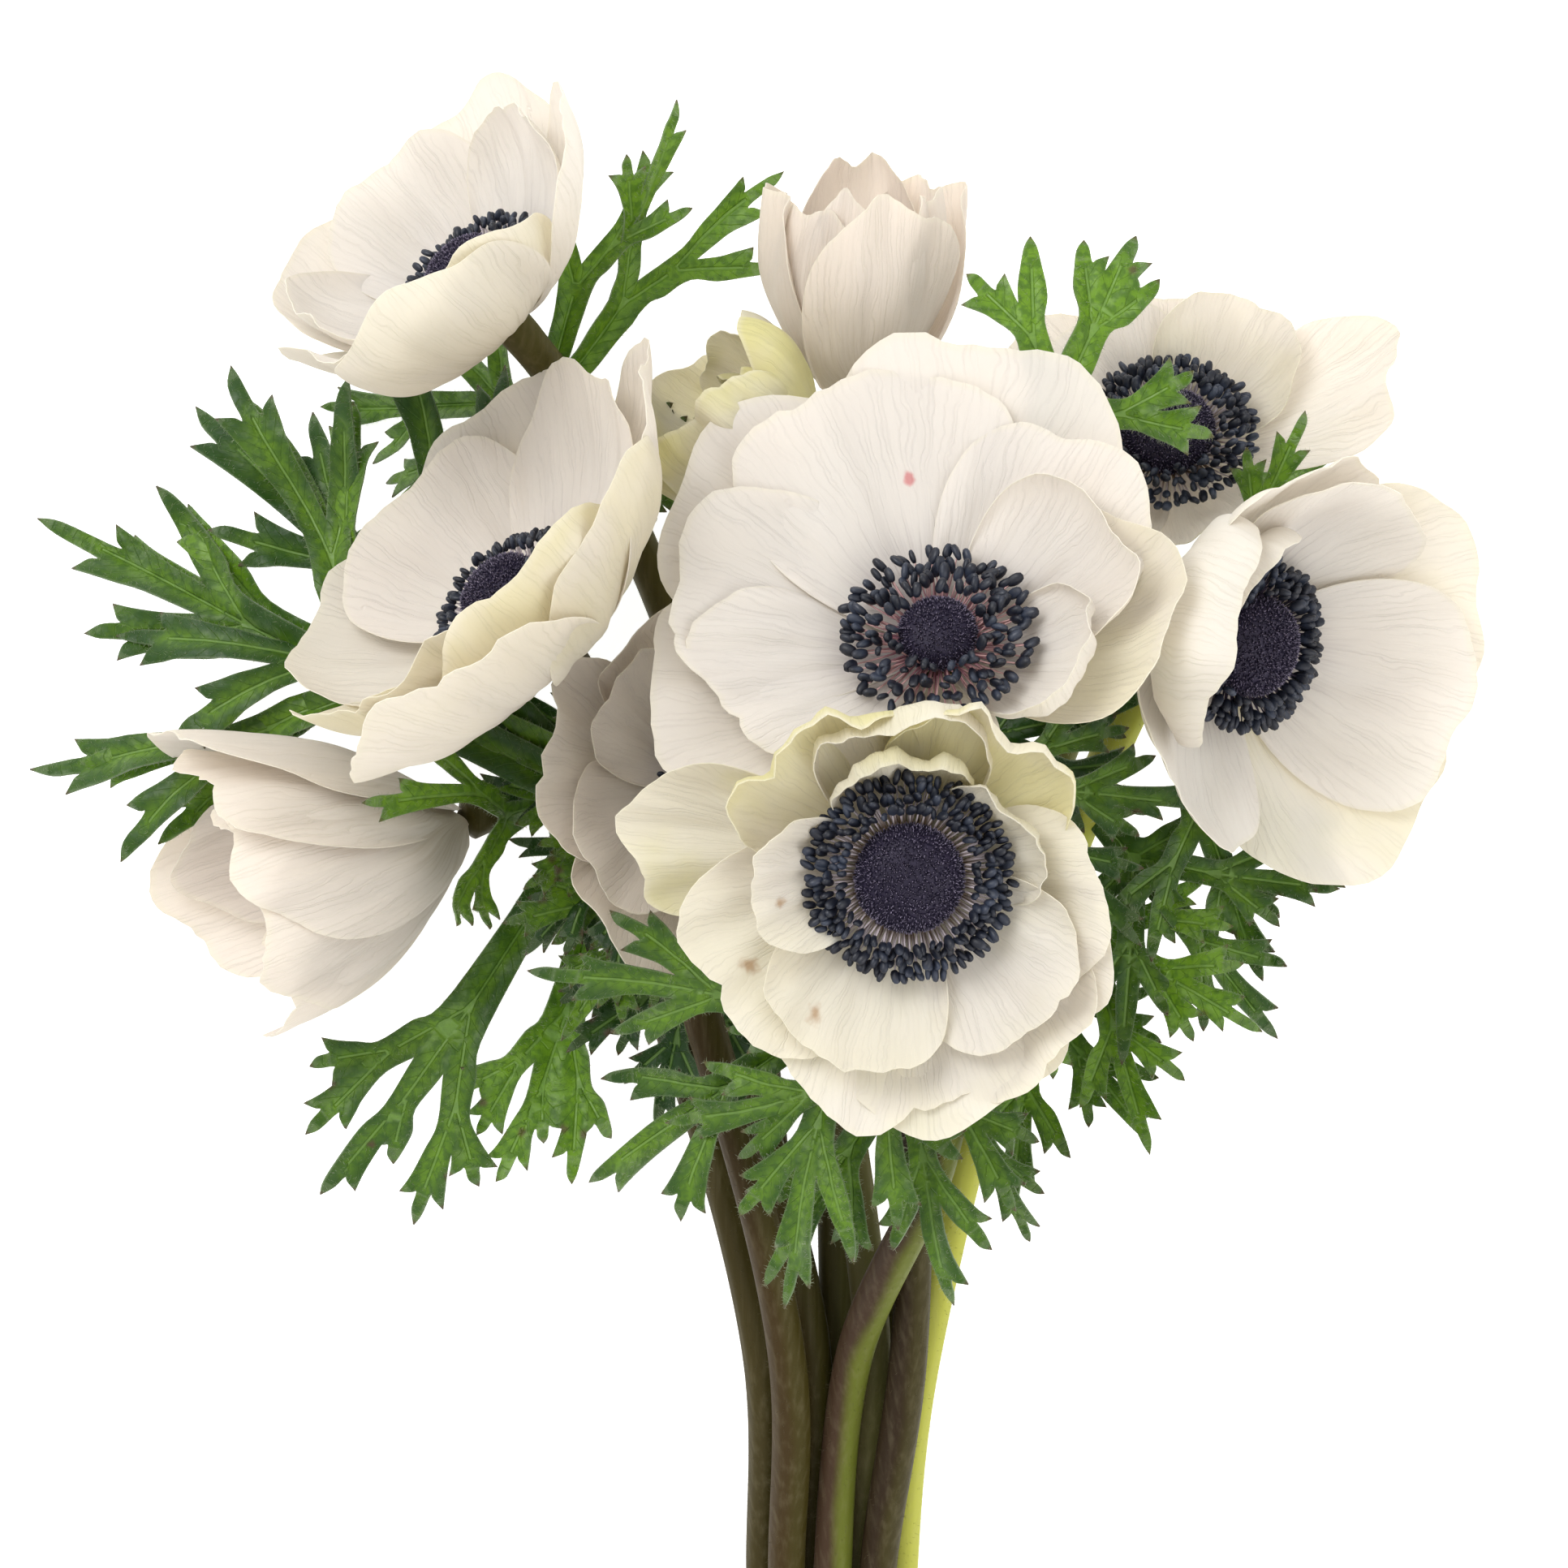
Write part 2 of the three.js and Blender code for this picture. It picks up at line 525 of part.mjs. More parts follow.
// Turns a bloom built upright round the origin to the place and the way that its flower looks.
function faceMatrix(flower) {
  const axis = new THREE.Vector3(...flower.faces).normalize();
  const up = Y.clone().addScaledVector(axis, -Y.dot(axis)).normalize();
  return new THREE.Matrix4().makeBasis(up.clone().cross(axis), up, axis).setPosition(...flower.at);
}

for (const [name, flower] of Object.entries(FLOWERS)) {
  const place = [...faceMatrix(flower).elements];
  const bloom = bloomSolid(name);
  const curve = stemCurve(flower, bloom.foot);
  const stalk = joined([stemSolid(curve), ...leavesOf(name, curve, bloom.foot).map(leafSolid)]);
  addMesh(name + "_petals", largest(bloom.solid.transform(place).subtract(table)), FINISH.petals);
  addMesh(name + "_eye", eyeSolid(flower, bloom.top + GAP).transform(place), FINISH.eye);
  addMesh(name + "_stalk", largest(stalk.subtract(table)), FINISH.stalk);
}
addMesh("rubber_band", tieSolid(), FINISH.band);

bunch.position.copy(ORIGIN).negate();
export default bunch;
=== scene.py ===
"""The looks of a hand-tied bunch of ten cut white anemones that lies on its back on a pale surface.

Blooms, eyes, leaves, stalks and the rubber band are made here in fine meshes, in the places and forms of the
solids that they stand for. Lengths are in millimetres until a mesh is made, in the photograph's frame: x to
the right, y from the cut stalks to the blooms, z up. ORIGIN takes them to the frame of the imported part.
"""
import math

import bpy
import numpy as np
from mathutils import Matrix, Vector, geometry


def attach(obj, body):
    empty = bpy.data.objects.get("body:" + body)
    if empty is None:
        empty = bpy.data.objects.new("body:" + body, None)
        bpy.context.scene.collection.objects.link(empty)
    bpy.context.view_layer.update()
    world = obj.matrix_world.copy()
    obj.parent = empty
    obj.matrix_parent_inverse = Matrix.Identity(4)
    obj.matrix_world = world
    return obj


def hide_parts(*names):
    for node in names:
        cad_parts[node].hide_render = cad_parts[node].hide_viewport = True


bl_info = {
    "name": "Anemone bouquet",
    "version": (1, 0, 0),
    "blender": (4, 5, 0),
    "location": "3D View > Sidebar > Anemones",
    "description": "Builds a hand-tied bunch of white anemones round its solids",
    "category": "Object",
}

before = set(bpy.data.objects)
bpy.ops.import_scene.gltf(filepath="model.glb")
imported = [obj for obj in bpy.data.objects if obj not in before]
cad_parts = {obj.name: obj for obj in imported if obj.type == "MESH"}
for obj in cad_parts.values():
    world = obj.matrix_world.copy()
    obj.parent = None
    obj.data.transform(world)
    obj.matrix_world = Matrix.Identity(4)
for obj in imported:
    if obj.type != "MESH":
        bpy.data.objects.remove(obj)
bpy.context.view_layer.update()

MM_PER_M = 1000
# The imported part's origin, in the photograph's frame.
ORIGIN = np.array([-6.218, -62.994, 0.0])
# Blooms: where the petals begin below the middle of the eye and beside the axis, the height between two
# whorls, the rise from one side of a petal to the other, and how far the knob reaches below the roots.
ROOT_DEPTH = 9.0
ROOT_RADIUS = 2.6
LEVEL_STEP = 2.4
SHINGLE = 1.2
KNOB_BELOW = 1.4
# The gap that is kept between two solids.
GAP = 0.35
# Stalks: their radius, how far the lowest ones are pressed flat, and where they are cut.
STEM_RADIUS = 3.4
FLAT = 0.3
CUT_END_Y = -250.0
# The tie: middle, width and thickness of the rubber band, and how far it lifts the stalks.
TIE_Y = -166.0
TIE_WIDTH = 8.0
TIE_THICKNESS = 1.6
TIE_LIFT = 3.6
# The bundle: distance from slot to slot, sideways and upwards, and its middle.
SLOT_STEP_X = 7.6
SLOT_STEP_Z = 6.8
BUNDLE_X = 8.5

# The ten flowers, in the order in which they are made.
# at: middle of the eye. faces: where the bloom looks. eye: radius of the dome and of the ring of stamens.
# stamens: radius of the inmost row of anthers, rows, distance between anthers, their length.
# bowl: rise of the petals at the root and at the tip, compass angle where they stand up most, and by how
# much. Angles are in degrees.
# petals: compass angle, length, half angle of the fan, level of the whorl, extra rise at the tip.
# slot, sway, via: the stalk's place in the tied bundle, its lean above the tie, and points on its way.
# leaves: distance down the stalk, tip x, y, z, bend, roll, form.
# more, more_leaves: further rows of petals and leaves, which the solids do not have.
# tint: yellow-green, painted shade and pink of the petals. greener: petal index to a yellow-green of its own.
# folds: petal index to how far its rim rolls in, and the height of its ruffles.
# marks: petal index to a bruise's place across and along the petal, and 1 where it is red.
# filaments: their colour. stalk: colours of the stalk's left and right side.
FLOWERS = {
    "front": {
        "at": (20.6, -15.3, 106), "faces": (0.02, -0.14, 0.99),
        "eye": (8.8, 16.6), "stamens": (11.4, 4, 1.4, 2.8), "bowl": (2, 44, 80, 20),
        "petals": [
            (282, 41, 44, 0, 0), (350, 34, 43, 0, 8), (58, 39, 44, 0, 0), (130, 39, 43, 0, 0),
            (210, 38, 44, 0, 0), (172, 44, 24, -1, -34), (316, 35, 42, 1, 8), (26, 31, 42, 1, 14),
            (96, 34, 44, 1, 16), (246, 35, 42, 1, 8),
        ],
        "more": [
            (94, 36, 42, -0.5, 0), (330, 36, 40, -0.4, 2), (182, 31, 38, 1.6, 16),
            (264, 40, 38, -0.5, 2), (304, 39, 38, -0.6, 4),
        ],
        "slot": (0, 2), "sway": 3.6, "via": [(29, -34, 84), (26.5, -62, 75)],
        "leaves": [
            (34, -30, -66, 58, 26, 0, "full"), (42, 0, -80, 60, 22, 0, "full"),
            (50, 30, -76, 66, 24, 0, "narrow"),
        ],
        "tint": (0.3, 0.0, 0.0), "greener": {2: 1.0, 3: 0.85, 8: 0.6, 5: 0.9, 0: 0.42},
        "folds": {
            0: (-6, 1.0), 2: (58, 2.6), 3: (52, 2.8), 5: (25, 1.2), 7: (40, 0.8), 8: (80, 1.8), 9: (18, 0.9),
            10: (70, 2.2),
        },
        "marks": {4: (0.5, 0.8, 0.0), 9: (0.4, 0.82, 0.0), 12: (0.6, 0.8, 0.0)},
        "filaments": "pale", "stalk": ((0.056, 0.032, 0.018), (0.12, 0.14, 0.018)),
    },
    "crown": {
        "at": (25.8, 24.7, 86), "faces": (-0.05, 0.47, 0.88),
        "eye": (6.4, 15.6), "stamens": (7.8, 4, 1.75, 3.1), "bowl": (4, 30, 0, 10),
        "petals": [
            (84, 55, 44, 0, 0), (134, 53, 44, 0, 0), (10, 43, 44, 0, 4), (200, 48, 44, 0, 0),
            (268, 24, 40, 0, 0), (110, 50, 44, 1, 2), (166, 46, 42, 1, 6), (30, 42, 41, 1, 16),
            (346, 38, 40, 1, 24),
        ],
        "more": [(198, 40, 40, 1.5, 10), (50, 44, 40, 0.5, 8)],
        "slot": (1, 2), "sway": 4.2, "via": [(26, 0, 60), (23, -45, 60)],
        "leaves": [(26, 59, -25, 51, 10, 0, "full"), (22, 57, 92, 60, 2, 0, "far")],
        "more_leaves": [(22, 60, -4, 50, 8, 0, "full")],
        "tint": (0.03, 0.0, 0.08), "greener": {2: 0.4, 4: 0.2},
        "folds": {0: (5, 0.5), 1: (-10, 0.6), 8: (60, 0.9), 7: (35, 0.5), 2: (20, 0.8)},
        "marks": {5: (0.4, 0.62, 1.0)},
        "filaments": "pink", "stalk": ((0.03, 0.018, 0.009), (0.045, 0.036, 0.009)),
    },
    "right": {
        "at": (79.8, 23.8, 62), "faces": (0.6, -0.2, 0.77),
        "eye": (8.4, 14.6), "stamens": (9.6, 4, 1.5, 2.8), "bowl": (4, 68, 166, 12),
        "petals": [
            (22, 47, 44, 0, 0), (94, 41, 44, 0, 0), (172, 46, 58, 0, 14), (238, 42, 44, 0, 0),
            (310, 48, 44, 0, 0), (346, 47, 44, 1, 8), (128, 38, 42, 1, 20), (66, 42, 44, 1, 8),
        ],
        "slot": (1.5, 1), "sway": 2.4, "via": [(63, 18, 42), (40, -38, 38)],
        "leaves": [
            (54, 84, -42, 46, 24, 0, "full"), (64, 62, -60, 50, 24, 0, "full"),
            (76, 40, -70, 46, 20, 0, "full"), (28, 82, -31, 46, 2, 0, "long"),
            (22, 101, 55, 45.6, 3, 0, "narrow"),
        ],
        "tint": (0.04, 0.0, 0.0), "greener": {4: 0.35, 0: 0.18},
        "folds": {2: (60, 0.5), 6: (30, 0.5), 4: (-10, 0.8)},
        "filaments": "dark", "stalk": ((0.3, 0.31, 0.05), (0.43, 0.44, 0.07)),
    },
    "high_left": {
        "at": (-54.4, 87.5, 54), "faces": (-0.6, 0.66, 0.46),
        "eye": (7.4, 13.4), "stamens": (9.0, 3, 1.7, 2.4), "bowl": (4, 70, 333, 6),
        "petals": [
            (333, 42, 44, 0, 0), (45, 43, 43, 0, 0), (117, 42, 43, 0, 0), (189, 42, 43, 0, 0),
            (261, 40, 43, 0, 0), (82, 39, 42, 1, 8), (153, 40, 42, 1, 8), (225, 39, 42, 1, 8),
        ],
        "more": [(313, 47, 44, -0.5, 0)],
        "slot": (-1, 0), "sway": 1, "via": [(-37, 66, 33), (-14, 10, 25)],
        "leaves": [
            (26, -28.6, 115, 34, 10, 0, "narrow"), (30, -9.4, 113, 30, 4, 30, "narrow"),
            (36, -17, 47, 32, 10, 0, "full"), (34, -80, 68, -0.6, 4, 0, "full"),
        ],
        "tint": (0.03, 0.03, 0.02), "greener": {0: 0.35, 4: 0.12, 8: 0.15},
        "folds": {0: (10, 0.5), 4: (0, 0.7)},
        "filaments": "pale", "stalk": ((0.07, 0.058, 0.018), (0.08, 0.07, 0.018)),
    },
    "mid_left": {
        "at": (-47.4, 31.8, 70), "faces": (-0.62, 0.62, 0.48),
        "eye": (7.4, 13.4), "stamens": (9.0, 3, 1.7, 2.4), "bowl": (-4, 62, 334, 19),
        "petals": [
            (338, 53, 44, 0, 0), (48, 54, 43, 0, 0), (122, 50, 43, 0, 0), (194, 46, 43, 0, 0),
            (270, 46, 43, 0, 4), (86, 47, 42, 1, 6), (158, 46, 42, 1, 4), (302, 46, 40, 1, 4),
        ],
        "more": [(14, 50, 46, -0.4, -8), (306, 56, 42, -0.5, -4)],
        "slot": (-1, 2), "sway": 1, "via": [(-32, 12, 54), (-14, -40, 56)],
        "leaves": [
            (54, -100, 62, 17, 2, 0, "long"), (50, -126, 44, 16, 2, 0, "long"),
            (44, -118, 40, 11, 2, 0, "long"),
        ],
        "tint": (0.06, 0.08, 0.25), "greener": {0: 0.6, 4: 0.5, 7: 0.4, 3: 0.2, 8: 0.4, 9: 0.15},
        "folds": {0: (15, 1.2), 4: (6, 1.4), 1: (0, 1.0), 7: (-14, 1.4), 3: (12, 0.8)},
        "filaments": "pale", "stalk": ((0.05, 0.031, 0.01), (0.052, 0.041, 0.007)),
    },
    "low_left": {
        "at": (-65, -9.8, 34), "faces": (-0.88, -0.32, 0.35),
        "eye": (4, 5), "stamens": (4.4, 1, 1.8, 2.2), "bowl": (38, 92, 0, 0),
        "petals": [
            (24, 54, 54, 0, 0), (84, 57, 50, 0, -13), (180, 55, 50, 0, 0), (300, 51, 58, 0, 4),
            (45, 52, 46, 1, 3), (165, 52, 46, 1, 3), (325, 50, 46, 1, 3),
        ],
        "more": [(60, 56, 50, 0.4, -6), (338, 54, 46, 0.5, 3)],
        "slot": (-1.5, 1), "sway": 1, "via": [(-36, -4, 27), (-18, -48, 28)],
        "leaves": [
            (26, -67, -12, 68, 16, 0, "narrow"), (34, -76, -72, 26, 20, 0, "hanging"),
            (40, -46, -68, 26, 20, 0, "hanging"),
        ],
        "tint": (0.03, 0.02, 0.35), "greener": {},
        "folds": {0: (10, 0.9), 1: (-10, 1.0), 3: (-10, 1.0)},
        "filaments": "pale", "stalk": ((0.05, 0.038, 0.01), (0.046, 0.037, 0.007)),
    },
    "hidden_left": {
        "at": (-10, 0, 62), "faces": (0.3, 0.06, 0.95),
        "eye": (7, 12), "stamens": (8.4, 3, 1.7, 2.3), "bowl": (4, 42, 0, 6),
        "petals": [
            (108, 34, 44, 0, 0), (172, 35, 44, 0, 0), (244, 37, 44, 0, 0), (316, 24, 42, 0, 0),
            (28, 22, 42, 0, 0), (136, 30, 42, 1, 6), (208, 32, 42, 1, 6),
        ],
        "slot": (-0.5, 1), "sway": 1, "via": [(-15, -12, 38), (-4, -60, 34)],
        "leaves": [
            (26, -37, -42, 44, 20, 0, "full"), (30, -26, -40, 48, 14, 0, "narrow"),
            (24, -50, 0, 46, 10, 0, "full"),
        ],
        "more_leaves": [
            (26, -44, -28, 40, 30, 20, "full"), (34, -38, -38, 30, 24, -20, "full"),
            (22, -40, -14, 44, 30, 0, "full"), (20, -52, 10, 40, 20, 0, "narrow"),
            (40, -22, -58, 34, 24, 0, "full"),
        ],
        # Much painted shade: this bloom lies in the shade of the others.
        "tint": (0.08, 0.4, 0.4), "greener": {},
        "folds": {0: (30, 1.2), 1: (10, 0.8), 2: (25, 0.8)},
        "filaments": "pale", "stalk": ((0.05, 0.037, 0.01), (0.055, 0.047, 0.008)),
    },
    "high_right": {
        "at": (67, 61, 40.6), "faces": (-0.05, 0.46, 0.885),
        "eye": (8.0, 14.6), "stamens": (9.4, 4, 1.5, 2.8), "bowl": (4, 34, 0, 0),
        "petals": [
            (20, 42, 26, 0, 0), (86, 28, 44, 0, 0), (154, 33, 44, 0, 0), (226, 23, 42, 0, 0),
            (298, 18, 42, 0, 0), (56, 31, 42, 1, 6), (118, 28, 42, 1, 6),
        ],
        "slot": (1, 0), "sway": 1, "via": [(60, 34, 20), (34, -36, 20)],
        "leaves": [(28, 100, 60, -0.6, 10, 0, "full")],
        "tint": (0.06, 0.03, 0.15), "greener": {5: 0.35},
        "folds": {0: (10, 2.2), 5: (10, 1.6)},
        "filaments": "pale", "stalk": ((0.08, 0.07, 0.024), (0.11, 0.115, 0.03)),
    },
    "bud": {
        "at": (12.6, 76, 34), "faces": (0.04, 0.97, 0.25),
        "eye": (2.8, 3.4), "stamens": (3.0, 1, 1.8, 2.0), "bowl": (36, 106, 0, 0),
        "petals": [
            (285, 42, 56, 0, 0), (35, 43, 56, 0, 0), (160, 42, 56, 0, 0), (330, 44, 50, 1, 2),
            (215, 41, 50, 1, 2),
        ],
        "more": [(90, 49, 58, 1.4, 2), (250, 45, 50, 1.8, 6)],
        "slot": (0, 0), "sway": 1, "via": [(13, 40, 24), (9, -30, 23)],
        "leaves": [],
        "tint": (0.06, 0.02, 0.6), "greener": {},
        "folds": {0: (-12, 1.2), 1: (-5, 1.6), 2: (-10, 1.4), 3: (0, 1.0), 4: (5, 1.2), 5: (20, 0.6)},
        "filaments": "pale", "stalk": ((0.08, 0.07, 0.024), (0.095, 0.09, 0.026)),
    },
    "behind_top": {
        "at": (-5.5, 60, 46), "faces": (-0.76, 0.56, 0.32),
        "eye": (6, 9), "stamens": (6.8, 2, 1.7, 2.2), "bowl": (14, 104, 0, 0),
        "petals": [
            (335, 34, 54, 0, 0), (60, 32, 52, 0, 0), (180, 30, 52, 0, 0), (265, 30, 52, 0, 0),
            (20, 28, 46, 1, 6),
        ],
        "more": [
            (120, 30, 46, 1, 8), (305, 30, 48, 1, 4), (10, 27, 54, 1.4, 26), (100, 27, 54, 1.7, 30),
            (200, 26, 54, 2.0, 32), (280, 26, 54, 2.3, 28),
        ],
        "slot": (0.5, 1), "sway": 2.6, "via": [(5, 38, 35), (7, -30, 33)],
        "leaves": [],
        "tint": (1.0, 0.05, 0.0), "greener": {},
        "folds": {0: (20, 2.0), 1: (25, 2.2), 2: (0, 1.6), 3: (-10, 2.0), 4: (20, 1.6)},
        "filaments": "pale", "stalk": ((0.08, 0.07, 0.024), (0.095, 0.09, 0.026)),
    },
}


def draw(seed):
    """The same number from 0 to 1 for the same seed."""
    v = math.sin(seed * 12.9898 + 4.1) * 43758.5453
    return v - math.floor(v)


def smooth_step(low, high, x):
    t = np.clip((x - low) / (high - low), 0, 1)
    return t * t * (3 - 2 * t)


def normalised(vectors):
    return vectors / np.maximum(np.linalg.norm(vectors, axis=-1, keepdims=True), 1e-12)


# ---- Meshes ----
class Parts:
    """Collects the points, faces and point attributes of one piece."""

    def __init__(self, *attributes):
        self.points = []
        self.faces = []
        self.values = {name: [] for name in attributes}
        self.count = 0

    def add(self, points, faces, **values):
        n = len(points)
        self.points.append(np.asarray(points, float))
        self.faces.extend([[int(i) + self.count for i in face] for face in faces])
        for name, store in self.values.items():
            store.append(np.broadcast_to(np.asarray(values[name], float), (n,)))
        self.count += n

    def piece(self, name, material, uv=(), sharp=50):
        """The piece itself. uv names two attributes for its UV map. Edges steeper than sharp stay sharp."""
        points = np.concatenate(self.points)
        mesh = bpy.data.meshes.new(name)
        mesh.from_pydata(((points - ORIGIN) / MM_PER_M).tolist(), [], self.faces)
        for key, store in self.values.items():
            if key not in uv:
                data = np.concatenate(store).astype(np.float32)
                mesh.attributes.new(key, "FLOAT", "POINT").data.foreach_set("value", data)
        if uv:
            corners = np.zeros(len(mesh.loops), np.int32)
            mesh.loops.foreach_get("vertex_index", corners)
            pair = np.stack([np.concatenate(self.values[key])[corners] for key in uv], -1)
            mesh.uv_layers.new(name="UVMap").data.foreach_set("uv", pair.astype(np.float32).ravel())
        mesh.materials.append(material)
        mesh.shade_smooth()
        if sharp:
            mesh.set_sharp_from_angle(angle=math.radians(sharp))
        mesh.validate()
        return linked(name, mesh)


def linked(name, data):
    """A new object of the scene, made of a mesh, a light or a camera."""
    thing = bpy.data.objects.new(name, data)
    bpy.context.scene.collection.objects.link(thing)
    return thing


def finished(piece, node):
    """Hangs a piece on the part: it rides on its only body and stands for a node."""
    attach(piece, "root")
    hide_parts(node)


def volume_of(points, faces):
    """Six times the volume inside the faces, and less than zero where they point inward."""
    total = 0.0
    for face in faces:
        for k in range(1, len(face) - 1):
            a, b, c = points[face[0]], points[face[k]], points[face[k + 1]]
            total += float(np.dot(a, np.cross(b, c)))
    return total


def outward(points, faces):
    """The faces, turned round where they point into the solid."""
    return faces if volume_of(points, faces) > 0 else [list(reversed(face)) for face in faces]


def grid_blade(sheet, thickness):
    """A closed blade round a grid of points: its points, its faces and the number of points on a side."""
    rows, columns = sheet.shape[:2]
    normals = normalised(np.cross(np.gradient(sheet, axis=0), np.gradient(sheet, axis=1)))
    half = normals * (thickness[..., None] / 2)
    points = np.concatenate([(sheet + half).reshape(-1, 3), (sheet - half).reshape(-1, 3)])
    side = rows * columns
    index = np.arange(side).reshape(rows, columns)
    a, b, c, d = index[:-1, :-1], index[1:, :-1], index[1:, 1:], index[:-1, 1:]
    front = np.stack([a, b, c, d], -1).reshape(-1, 4)
    back = front[:, ::-1] + side
    edge = np.concatenate([index[:, 0], index[-1, 1:], index[-2::-1, -1], index[0, -2:0:-1]])
    after = np.roll(edge, -1)
    rim = np.stack([after, edge, edge + side, after + side], -1)
    faces = np.concatenate([front, back, rim]).tolist()
    return points, outward(points, faces), side


def spindle_faces(sides, rings):
    """Faces of a closed solid of a first point, some rings of points and a last point."""
    last = 1 + rings * sides
    top = last - sides
    faces = []
    for k in range(sides):
        n = (k + 1) % sides
        faces.append([0, 1 + n, 1 + k])
        for base in range(1, top, sides):
            faces.append([base + k, base + n, base + sides + n, base + sides + k])
        faces.append([top + k, top + n, last])
    return faces


def lathe(profile, sides):
    """A closed solid of revolution round z. Its profile of (radius, height) begins and ends on the axis."""
    points = [(0, 0, profile[0][1])]
    turned = np.arange(sides) * 2 * math.pi / sides
    for radius, height in profile[1:-1]:
        points.extend(zip(radius * np.cos(turned), radius * np.sin(turned), np.full(sides, height)))
    points.append((0, 0, profile[-1][1]))
    points = np.array(points, float)
    return points, outward(points, spindle_faces(sides, len(profile) - 2))


# ---- Node trees ----
class Steps:
    """A node tree that is built in short steps. What a step is given is a plain value or a socket."""

    def __init__(self, tree):
        self.tree = tree

    def node(self, kind, inputs=None, **settings):
        node = self.tree.nodes.new(kind)
        for key, value in settings.items():
            setattr(node, key, value)
        for key, value in (inputs or {}).items():
            self.feed(node.inputs[key], value)
        return node

    def feed(self, socket, value):
        if isinstance(value, bpy.types.NodeSocket):
            self.tree.links.new(value, socket)
        elif isinstance(value, tuple) and len(value) == 3 and socket.type == "RGBA":
            socket.default_value = (*value, 1)
        else:
            socket.default_value = value


class Shader(Steps):
    """A material. Its steps return a socket, and the last one, surface, returns the material."""

    def __init__(self, name):
        self.material = bpy.data.materials.new(name)
        self.material.use_nodes = True
        super().__init__(self.material.node_tree)
        self.tree.nodes.clear()
        self.output = self.tree.nodes.new("ShaderNodeOutputMaterial")

    def math(self, operation, a, b=0.0):
        return self.node("ShaderNodeMath", {0: a, 1: b}, operation=operation).outputs[0]

    def plus(self, a, b):
        return self.math("ADD", a, b)

    def minus(self, a, b):
        return self.math("SUBTRACT", a, b)

    def times(self, a, b):
        return self.math("MULTIPLY", a, b)

    def swing(self, noise, amount):
        """Makes a noise round 0.5 into one round zero."""
        return self.times(self.minus(noise, 0.5), amount)

    def rise(self, value, low, high, start=0.0, end=1.0):
        """Goes smoothly from start to end while value goes from low to high."""
        inputs = {"Value": value, "From Min": low, "From Max": high, "To Min": start, "To Max": end}
        node = self.node("ShaderNodeMapRange", inputs, interpolation_type="SMOOTHSTEP", clamp=True)
        return node.outputs[0]

    def mix(self, factor, a, b):
        """Goes from colour a to colour b. The node has its colours on inputs 6 and 7 and on output 2."""
        return self.node("ShaderNodeMix", {0: factor, 6: a, 7: b}, data_type="RGBA").outputs[2]

    def attribute(self, name):
        return self.node("ShaderNodeAttribute", attribute_name=name).outputs["Fac"]

    def uv(self):
        node = self.node("ShaderNodeUVMap", uv_map="UVMap")
        parts = self.node("ShaderNodeSeparateXYZ", {0: node.outputs[0]})
        return parts.outputs[0], parts.outputs[1]

    def position(self):
        return self.node("ShaderNodeTexCoord").outputs["Object"]

    def vector(self, x, y, z):
        return self.node("ShaderNodeCombineXYZ", {0: x, 1: y, 2: z}).outputs[0]

    def noise(self, vector, scale, detail):
        inputs = {"Vector": vector, "Scale": scale, "Detail": detail}
        return self.node("ShaderNodeTexNoise", inputs).outputs[0]

    def bump(self, height, strength, distance):
        inputs = {"Height": height, "Strength": strength, "Distance": distance}
        return self.node("ShaderNodeBump", inputs).outputs[0]

    def surface(self, colour, roughness, normal=None, glow=None, glow_share=0.0, **sockets):
        """Ends the material in a principled shader, with light shining through where glow is given."""
        inputs = {"Base Color": colour, "Roughness": roughness}
        inputs.update({name.replace("_", " "): value for name, value in sockets.items()})
        body = self.node("ShaderNodeBsdfPrincipled", inputs)
        if normal is not None:
            self.feed(body.inputs["Normal"], normal)
        end = body.outputs[0]
        if glow is not None:
            through = self.node("ShaderNodeBsdfTranslucent", {"Color": glow})
            if normal is not None:
                self.feed(through.inputs["Normal"], normal)
            end = self.node("ShaderNodeMixShader", {0: glow_share, 1: end, 2: through.outputs[0]}).outputs[0]
        self.tree.links.new(end, self.output.inputs[0])
        return self.material


# ---- Materials ----
def petal_noise(s, u, v, across, along, detail):
    """A noise of its own on every petal. The numbers say how fine it is across and along the petal."""
    return s.noise(s.vector(s.times(u, across), s.times(v, along), s.attribute("seed")), 1.0, detail)


def veins_of(s, u, v, counts, width):
    """Fine lines that run from a petal's root to its rim and fork on the way."""
    wander = petal_noise(s, u, v, 9.0, 4.0, 3.0)
    bent = s.plus(u, s.swing(wander, 0.09))
    total = 0.0
    for count, starts in counts:
        wave = s.math("ABSOLUTE", s.math("SINE", s.times(bent, math.pi * count)))
        line = s.rise(wave, 0.0, width * count / 10, 1.0, 0.0)
        shown = s.times(line, s.rise(v, starts, starts + 0.18))
        total = s.math("MAXIMUM", total, shown)
    patchy = petal_noise(s, u, v, 14.0, 3.0, 1.0)
    return s.times(total, s.rise(patchy, 0.3, 0.7, 0.2, 1.0))


def mark_of(s, u, v, grain):
    """A bruise on a petal, round the place that mark_u and mark_v give. A red one is smaller."""
    shrink = s.plus(s.times(s.attribute("mark_red"), 1.2), 1.0)
    across = s.times(s.minus(u, s.attribute("mark_u")), s.times(shrink, 26.0))
    along = s.times(s.minus(v, s.attribute("mark_v")), s.times(shrink, 11.0))
    away = s.math("SQRT", s.plus(s.times(across, across), s.times(along, along)))
    ragged = s.plus(away, s.swing(grain, 3.0))
    return s.rise(ragged, 0.1, 0.9, 0.75, 0.0)


